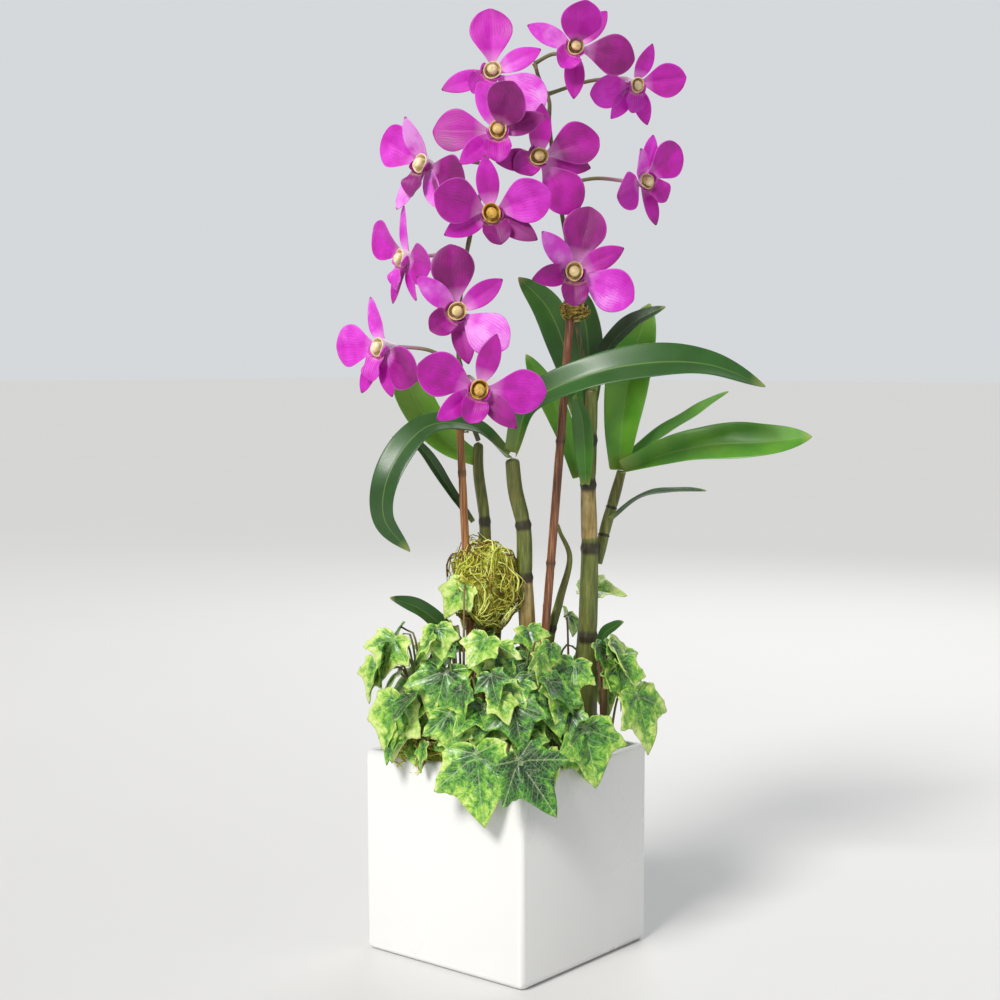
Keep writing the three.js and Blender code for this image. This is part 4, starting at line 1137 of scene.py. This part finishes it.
def makeCore(shape, level):
    # the dense middle of a cushion, lumpy all over
    bpy.ops.mesh.primitive_ico_sphere_add(subdivisions=level, radius=1)
    core = bpy.context.active_object
    centre, size = Vector(shape["centre"]), Vector(shape["size"])
    for v in core.data.vertices:
        coarse = lumpy["size"] * noise.noise(v.co * lumpy["scale"] + centre * lumpy["shift"])
        fine = lumpy["fineSize"] * noise.noise(v.co * lumpy["fineScale"])
        lump = shape["core"] * (1 + coarse + fine)
        spot = centre + Vector(size[a] * v.co[a] * lump for a in range(3))
        if shape.get("floor"):
            spot.z = max(spot.z, shape["floor"])
        v.co = toFrame @ spot
    setAttribute(core, "shade", lambda co: 0.5 + 0.5 * noise.noise(co * 300))
    return core


def strandSkin(name, stops, roughness):
    material, tree, shader = newMaterial(
        name, Roughness=roughness, Subsurface_Weight=0.1, Subsurface_Scale=0.001)
    fine = noiseNode(tree, objectPlace(tree), 350.0, 3, 0.6)
    shade = plus(tree, attributeNode(tree, "shade"), minus(tree, fine, 0.5), True)
    tree.links.new(rampNode(tree, shade, stops), shader.inputs["Base Color"])
    tree.links.new(bumpNode(tree, fine, 0.6, 0.0006), shader.inputs["Normal"])
    return material


mossSkin = strandSkin("mossSkin", [
    (0.0, (0.12, 0.06, 0.012)), (0.2, (0.34, 0.27, 0.025)), (0.5, (0.58, 0.62, 0.06)),
    (1.0, (0.84, 0.88, 0.28))], 0.85)
raffiaSkin = strandSkin("raffiaSkin", [
    (0.0, (0.12, 0.06, 0.012)), (0.3, (0.38, 0.27, 0.03)), (0.6, (0.62, 0.52, 0.08)),
    (1.0, (0.80, 0.76, 0.30))], 0.7)

moss = {
    "moss_ball": {
        "centre": (-14, -6, 230), "size": (21, 22, 27), "count": 640, "raised": 0.0, "depth": (0.74, 1.12),
        "curl": 0.8, "step": 6.5, "thick": (0.35, 0.75), "core": 0.80},
    "moss_patch": {
        "centre": (-46, -22, 124), "size": (21, 18, 21), "count": 420, "raised": 1.1, "depth": (0.82, 1.04),
        "curl": 0.8, "step": 6.5, "thick": (0.35, 0.75), "core": 0.84, "floor": 117.9},
}
ties = {
    "tie_left": {
        "centre": (-28, -4, 332), "size": (8, 10, 7), "count": 90, "raised": 0.0, "depth": (0.7, 1.08),
        "curl": 1.0, "step": 4.5, "thick": (0.3, 0.6), "core": 0.55},
    "tie_right": {
        "centre": (41, -2, 400), "size": (9, 10, 7), "count": 90, "raised": 0.0, "depth": (0.7, 1.08),
        "curl": 1.0, "step": 4.5, "thick": (0.3, 0.6), "core": 0.55},
}


wraps = {
    "turns": 4, "pitch": 1.7, "tilts": (-0.25, 0.35), "wide": 0.62, "deep": 0.72, "climb": 1.2, "steps": 12}


def makeWraps(shape):
    # raffia wound round the stake and the spike, one flat band per turn
    centre, size = Vector(shape["centre"]), Vector(shape["size"])
    bands = []
    for k in range(wraps["turns"]):
        rise = (k - (wraps["turns"] - 1) / 2) * wraps["pitch"]
        tilt = wraps["tilts"][k % 2]
        route = []
        for i in range(wraps["steps"] + 1):
            angle = 2 * math.pi * i / wraps["steps"]
            lift = rise + tilt * size.x * 0.3 * math.cos(angle) + wraps["climb"] * i / wraps["steps"]
            across, back = wraps["wide"] * size.x * math.cos(angle), wraps["deep"] * size.y * math.sin(angle)
            route.append(centre + Vector((across, back, lift)))
        band = roundRod("band", 8, 60)
        marks = {"shade": lambda u, angle: 0.35 + 0.3 * math.sin(9 * u)}
        layRod(band, route, lambda u, angle: 0.55 + 0.5 * abs(math.sin(angle)), marks)
        bands.append(band)
    return bands


draw = random.Random(11)
for name, shape in moss.items():
    tangle = joinPieces([makeCore(shape, 5)] + makeTangle(name, shape, draw), name)
    finishPiece(tangle, name + "_tangle", [name], [mossSkin])
print("moss made")
for name, shape in ties.items():
    tie = joinPieces([makeCore(shape, 3)] + makeWraps(shape) + makeTangle(name, shape, draw), name)
    finishPiece(tie, name + "_raffia", [name], [raffiaSkin])
print("ties made")

# ivy: five-lobed leaves on stalks that fan out from each vine's foot

# the leaf's reach from where its stalk meets it, at each angle in degrees from its tip, by its size
ivyReach = [
    (0, 0.86), (8, 0.73), (18, 0.60), (32, 0.51), (44, 0.55), (54, 0.66), (62, 0.56), (74, 0.41), (86, 0.37),
    (100, 0.40), (112, 0.31), (131, 0.22), (152, 0.13), (168, 0.07), (180, 0.04)]
ivyRings = [1.0, 0.93, 0.80, 0.62, 0.42, 0.22]
ivySpokes = 72
ivyStalkAt = -0.26
ivyThick = 0.6
ivyStalk = {"fan": 2.2, "foot": 1.2, "over": 0.6, "arch": 6, "archShare": 0.12, "behind": 4, "seed": 70}


def ivyReachAt(angle, lobes):
    # lobes above 1 deepen the bays between the lobes, and below 1 fill them
    for (a, ra), (b, rb) in zip(ivyReach, ivyReach[1:]):
        if a <= angle <= b:
            share = (angle - a) / (b - a)
            share = share * share * (3 - 2 * share) if 20 < a < 125 else share
            reach = ra + (rb - ra) * share
            break
    plain = 0.86 - 0.62 * (angle / 180) ** 0.8
    return max(0.03, plain + (reach - plain) * lobes)


def ivyBlankOf(name, lobes):
    bpy.ops.mesh.primitive_circle_add(vertices=ivySpokes, radius=1)
    blank = bpy.context.active_object
    blank.name = name
    bpy.ops.object.mode_set(mode="EDIT")
    bpy.ops.mesh.select_all(action="SELECT")
    for before, after in zip(ivyRings, ivyRings[1:]):
        bpy.ops.mesh.extrude_edges_move(TRANSFORM_OT_translate={"value": (0, 0, 0)})
        share = after / before
        bpy.ops.transform.resize(value=(share, share, 1), center_override=(0, 0, 0))
    bpy.ops.mesh.edge_face_add()
    bpy.ops.mesh.poke()
    bpy.ops.mesh.select_all(action="SELECT")
    bpy.ops.mesh.normals_make_consistent(inside=False)
    bpy.ops.object.mode_set(mode="OBJECT")
    places = []
    for v in blank.data.vertices:
        share = v.co.length
        angle = math.degrees(math.atan2(abs(v.co.x), v.co.y))
        reach = ivyReachAt(angle, lobes) * share
        places.append((share, angle / 180, reach))
        flat = Vector((v.co.x, v.co.y, 0)).normalized() * reach
        v.co = Vector((flat.x, flat.y, 0))
    if sum(p.normal.z for p in blank.data.polygons) < 0:
        blank.data.flip_normals()
    for key, index in (("edge", 0), ("around", 1), ("reach", 2)):
        attribute = blank.data.attributes.new(key, "FLOAT", "POINT")
        attribute.data.foreach_set("value", [spot[index] for spot in places])
    return blank


ivyBlanks = [ivyBlankOf("ivyBlank" + str(i), lobes) for i, lobes in enumerate((1.0, 0.82, 1.15))]


def makeIvyLeaf(shape, draw):
    # at is the leaf's middle, face the way its upper face looks, tip the way its point goes
    size = shape["size"]
    leaf = copyOf(draw.choice(ivyBlanks), "ivyLeaf")
    narrow = draw.uniform(0.9, 1.08)
    droop = draw.uniform(0.10, 0.34)
    fold = draw.uniform(0.08, 0.30)
    phase = draw.uniform(0, 6.3)
    for v in leaf.data.vertices:
        x, y = v.co.x * narrow, v.co.y
        reach = v.co.length
        turn = math.atan2(v.co.x, v.co.y)
        pucker = 0.035 * math.sin(5.5 * turn + phase) * reach
        pucker += 0.02 * math.sin(13 * turn + 2 * phase) * reach
        quilt = 0.018 * math.cos(turn * 6.55) * math.sin(math.pi * min(1, reach / 0.5))
        z = fold * abs(x) - droop * reach ** 2 + pucker - quilt
        v.co = Vector((x, y + ivyStalkAt, z)) * size
    solidify = leaf.modifiers.new("thickness", "SOLIDIFY")
    solidify.thickness = ivyThick
    solidify.offset = -1
    applyAll(leaf)
    face = Vector(shape["face"]).normalized()
    tip = Vector(shape["tip"])
    tip = (tip - face * tip.dot(face)).normalized()
    turn = Matrix((tip.cross(face), tip, face)).transposed().to_4x4()
    matrix = Matrix.Translation(shape["at"]) @ turn
    leaf.data.transform(toFrame @ matrix)
    light = shape.get("light", 0.5)
    setAttribute(leaf, "light", lambda co: light)
    setAttribute(leaf, "along", lambda co: 0.0)
    stalkEnd = matrix @ Vector((0, ivyStalkAt * size, -0.4))
    return leaf, stalkEnd, matrix @ Vector((0, ivyStalkAt * size, -ivyStalk["behind"])), face.z


def makeStalk(route, red):
    rod = roundRod("stalk", 8, 20)
    marks = {"along": lambda u, angle: u, "light": lambda u, angle: red}
    layRod(rod, route, lambda u, angle: 0.95 - 0.35 * u, marks)
    setMaterialIndex(rod, 1)
    return rod


ivy = {
    "ivy_left": {"foot": (-50, -8), "leaves": [
        {"at": (-73, -18, 190), "face": (-0.5, -1, 0.4), "tip": (-0.5, -0.3, -1), "size": 32, "light": 0.95},
        {"at": (-85, -12, 174), "face": (-0.8, -0.6, 0.3), "tip": (-0.7, -0.3, -0.8), "size": 30,
            "light": 1.0},
        {"at": (-64, -2, 168), "face": (-0.6, -0.4, 0.8), "tip": (-1, 0.2, -0.5), "size": 30,
            "light": 0.8}]},
    "ivy_left_front": {"foot": (-26, -44), "leaves": [
        {"at": (-40, -46, 173), "face": (-0.2, -1, 0.5), "tip": (-0.3, -0.5, -1), "size": 40, "light": 0.55},
        {"at": (-41, -42, 202), "face": (0, -1, 0.6), "tip": (0.2, -0.4, -1), "size": 24, "light": 0.9},
        {"at": (-34, -62, 152), "face": (-0.3, -1, 0.4), "tip": (0.1, -0.3, -1), "size": 32, "light": 0.6},
        {"at": (-31, -27, 226), "face": (-0.4, -1, 0.5), "tip": (-0.7, -0.2, -0.9), "size": 27,
            "light": 1.0}]},
    "ivy_left_rim": {"foot": (-62, -14), "leaves": [
        {"at": (-69, -38, 151), "face": (-0.6, -1, 0.3), "tip": (-0.4, -0.3, -1), "size": 44,
            "light": 0.95}]},
    "ivy_front": {"foot": (-14, -56), "leaves": [
        {"at": (-17, -82, 127), "face": (-0.5, -1, 0.3), "tip": (0.2, -0.1, -1), "size": 50, "light": 0.65},
        {"at": (-16, -66, 158), "face": (0, -1, 0.5), "tip": (-0.3, -0.4, -1), "size": 30, "light": 0.5}]},
    "ivy_corner": {"foot": (3, -66), "leaves": [
        {"at": (13, -96, 130), "face": (0.2, -1, 0.5), "tip": (0.7, -0.2, -1), "size": 46, "light": 0.1},
        {"at": (5, -74, 160), "face": (-0.1, -1, 0.6), "tip": (0.2, -0.4, -1), "size": 34, "light": 0.25}]},
    "ivy_right_front": {"foot": (31, -44), "leaves": [
        {"at": (49, -60, 140), "face": (0.5, -1, 0.4), "tip": (0.3, -0.3, -1), "size": 42, "light": 0.6},
        {"at": (26, -64, 166), "face": (0.1, -1, 0.6), "tip": (0.3, -0.4, -1), "size": 34, "light": 0.35},
        {"at": (39, -44, 180), "face": (0.2, -1, 0.6), "tip": (-0.2, -0.4, -1), "size": 30, "light": 0.6}]},
    "ivy_right": {"foot": (60, -8), "leaves": [
        {"at": (84, -18, 152), "face": (0.7, -0.8, 0.4), "tip": (0.4, -0.2, -1), "size": 44, "light": 0.8},
        {"at": (71, -18, 174), "face": (0.5, -1, 0.4), "tip": (0.4, -0.4, -1), "size": 32, "light": 0.6},
        {"at": (75, 12, 180), "face": (0.5, -0.6, 0.9), "tip": (0.8, -0.2, -0.6), "size": 28,
            "light": 0.6}]},
    "ivy_middle": {"foot": (8, -42), "leaves": [
        {"at": (12, -52, 182), "face": (0, -1, 0.6), "tip": (-0.2, -0.4, -1), "size": 34, "light": 0.15},
        {"at": (-9, -48, 186), "face": (-0.2, -1, 0.6), "tip": (-0.2, -0.4, -1), "size": 28, "light": 0.4},
        {"at": (14, -38, 202), "face": (0.2, -1, 0.7), "tip": (0.3, -0.4, -1), "size": 22, "light": 0.7}]},
    "ivy_pale": {"foot": (40, 30), "leaves": [
        {"at": (58, 28, 222), "face": (0, -0.3, 1), "tip": (1, -0.1, 0.1), "size": 32, "light": 1.0}]},
    "ivy_back_left": {"foot": (-39, 34), "leaves": [
        {"at": (-58, 38, 152), "face": (-0.7, 0.7, 0.5), "tip": (-0.5, 0.5, -1), "size": 38, "light": 0.6},
        {"at": (-34, 54, 145), "face": (-0.5, 1, 0.5), "tip": (-0.2, 0.5, -1), "size": 34, "light": 0.4},
        {"at": (-44, 22, 178), "face": (-0.6, 0.4, 0.8), "tip": (-1, 0.3, -0.6), "size": 32, "light": 0.8}]},
    "ivy_back_right": {"foot": (22, 49), "leaves": [
        {"at": (38, 64, 148), "face": (0.3, 1, 0.5), "tip": (0.3, 0.5, -1), "size": 38, "light": 0.5},
        {"at": (6, 66, 154), "face": (-0.1, 1, 0.6), "tip": (-0.2, 0.5, -1), "size": 32, "light": 0.6},
        {"at": (62, 42, 158), "face": (0.8, 0.8, 0.5), "tip": (0.6, 0.4, -1), "size": 36, "light": 0.7},
        {"at": (18, 44, 176), "face": (0.1, 0.9, 0.8), "tip": (0.2, 0.6, -1), "size": 30, "light": 0.4}]},
}
# smaller leaves between the large ones: how many for each vine, and how far from its own leaves
ivyFill = {"each": 8, "away": 20, "size": (19, 30), "inner": (64, 60), "bottom": 132, "top": 200}

ivySkin, tree, shader = newMaterial(
    "ivySkin", Roughness=0.38, Coat_Weight=0.3, Coat_Roughness=0.25, Subsurface_Weight=0.12,
    Subsurface_Scale=0.002)
shader.inputs["Subsurface Radius"].default_value = (0.5, 1.0, 0.2)
place = objectPlace(tree)
edge, around, reach = [attributeNode(tree, key) for key in ("edge", "around", "reach")]
light = attributeNode(tree, "light")
blotch = noiseNode(tree, place, 190.0, 4, 0.68, 0.7)
cells = addNode(
    tree, "TexVoronoi", {"Vector": place, "Scale": 420.0}, feature="DISTANCE_TO_EDGE").outputs["Distance"]
netVeins = greyRamp(tree, cells, [(0.0, 1.0), (0.10, 0.0)])
# five main veins run to the lobes, 55 degrees apart, and finer ones leave them
offVein = mathNode(tree, "PINGPONG", times(tree, around, 180.0), 27.5)
distance = times(tree, times(tree, offVein, math.pi / 180), reach)
mainVeins = greyRamp(tree, distance, [(0.004, 1.0), (0.014, 0.0)])
chevrons = minus(tree, times(tree, reach, 62.0), times(tree, distance, 75.0))
sideVeins = greyRamp(tree, mathNode(tree, "SINE", chevrons), [(0.86, 0.0), (0.99, 1.0)])
variegation = times(tree, mathNode(tree, "POWER", edge, 1.6), 0.62)
variegation = plus(tree, variegation, times(tree, minus(tree, blotch, 0.5), 2.3))
variegation = plus(tree, variegation, times(tree, minus(tree, light, 0.42), 0.75), True)
leafGreen = rampNode(tree, variegation, [
    (0.0, (0.006, 0.050, 0.010)), (0.25, (0.024, 0.16, 0.012)), (0.5, (0.11, 0.36, 0.018)),
    (0.75, (0.36, 0.60, 0.06)), (1.0, (0.66, 0.80, 0.24))])
pale = (0.60, 0.76, 0.34)
leafGreen = mixColour(tree, times(tree, netVeins, 0.16), leafGreen, pale)
leafGreen = mixColour(tree, times(tree, sideVeins, 0.2), leafGreen, pale)
leafGreen = mixColour(tree, times(tree, mainVeins, 0.34), leafGreen, pale)
tree.links.new(leafGreen, shader.inputs["Base Color"])
tree.links.new(greyRamp(tree, blotch, [(0.3, 0.26), (0.7, 0.42)]), shader.inputs["Roughness"])
relief = plus(tree, times(tree, mainVeins, -0.8), times(tree, netVeins, -0.4))
relief = minus(tree, relief, times(tree, sideVeins, 0.4))
tree.links.new(bumpNode(tree, relief, 0.5, 0.0006), shader.inputs["Normal"])

stalkSkin, tree, shader = newMaterial("stalkSkin", Roughness=0.5)
streak = noiseNode(tree, objectPlace(tree), 300.0, 3)
redness = plus(tree, attributeNode(tree, "light"), minus(tree, streak, 0.5), True)
skin = rampNode(
    tree, redness, [(0.1, (0.16, 0.26, 0.05)), (0.5, (0.22, 0.16, 0.06)), (0.9, (0.26, 0.09, 0.06))])
tree.links.new(skin, shader.inputs["Base Color"])
tree.links.new(bumpNode(tree, streak, 0.3, 0.0003), shader.inputs["Normal"])


def fillLeaf(shape, draw):
    # a small leaf near one of the vine's own, looking out from the middle of the planting
    beside = Vector(draw.choice(shape["leaves"])["at"])
    at = beside + Vector([draw.uniform(-1, 1) * ivyFill["away"] for _ in range(3)])
    out = Vector((at.x, at.y, 0))
    deep = draw.uniform(0.55, 1.0)
    at.x *= min(1, ivyFill["inner"][0] / max(out.length, 1) * (0.8 + 0.5 * deep))
    at.y *= min(1, ivyFill["inner"][1] / max(out.length, 1) * (0.8 + 0.5 * deep))
    at.z = min(max(at.z, ivyFill["bottom"]), ivyFill["top"])
    out = out.normalized()
    face = out + Vector((draw.uniform(-0.5, 0.5), draw.uniform(-0.5, 0.5), draw.uniform(0.2, 1.1)))
    tip = Vector((draw.uniform(-0.6, 0.6), draw.uniform(-0.6, 0.6), -1)) + out * 0.5
    return {
        "at": at, "face": face, "tip": tip, "size": draw.uniform(*ivyFill["size"]),
        "light": draw.uniform(0.15, 1.0)}


for seed, (name, shape) in enumerate(ivy.items()):
    draw = random.Random(ivyStalk["seed"] + seed)
    foot = Vector((*shape["foot"], onSoil + ivyStalk["foot"]))
    pieces = []
    extra = 1 if name == "ivy_pale" else ivyFill["each"]
    for leafShape in shape["leaves"] + [fillLeaf(shape, draw) for _ in range(extra)]:
        leaf, stalkEnd, behind, up = makeIvyLeaf(leafShape, draw)
        turn = math.atan2(leafShape["at"][1] - foot.y, leafShape["at"][0] - foot.x)
        start = foot + Vector((ivyStalk["fan"] * math.cos(turn), ivyStalk["fan"] * math.sin(turn), 0))
        over = start.lerp(behind, ivyStalk["over"])
        arch = ivyStalk["arch"] + ivyStalk["archShare"] * (behind - start).length
        over.z = behind.z + arch * (1 - 2 * up)
        pieces += [leaf, makeStalk([start, over, behind, stalkEnd], draw.random())]
    vine = joinPieces(pieces, name)
    finishPiece(vine, name + "_vine", [name], [ivySkin, stalkSkin])
for blank in ivyBlanks:
    bpy.data.objects.remove(blank)
print("ivy made")
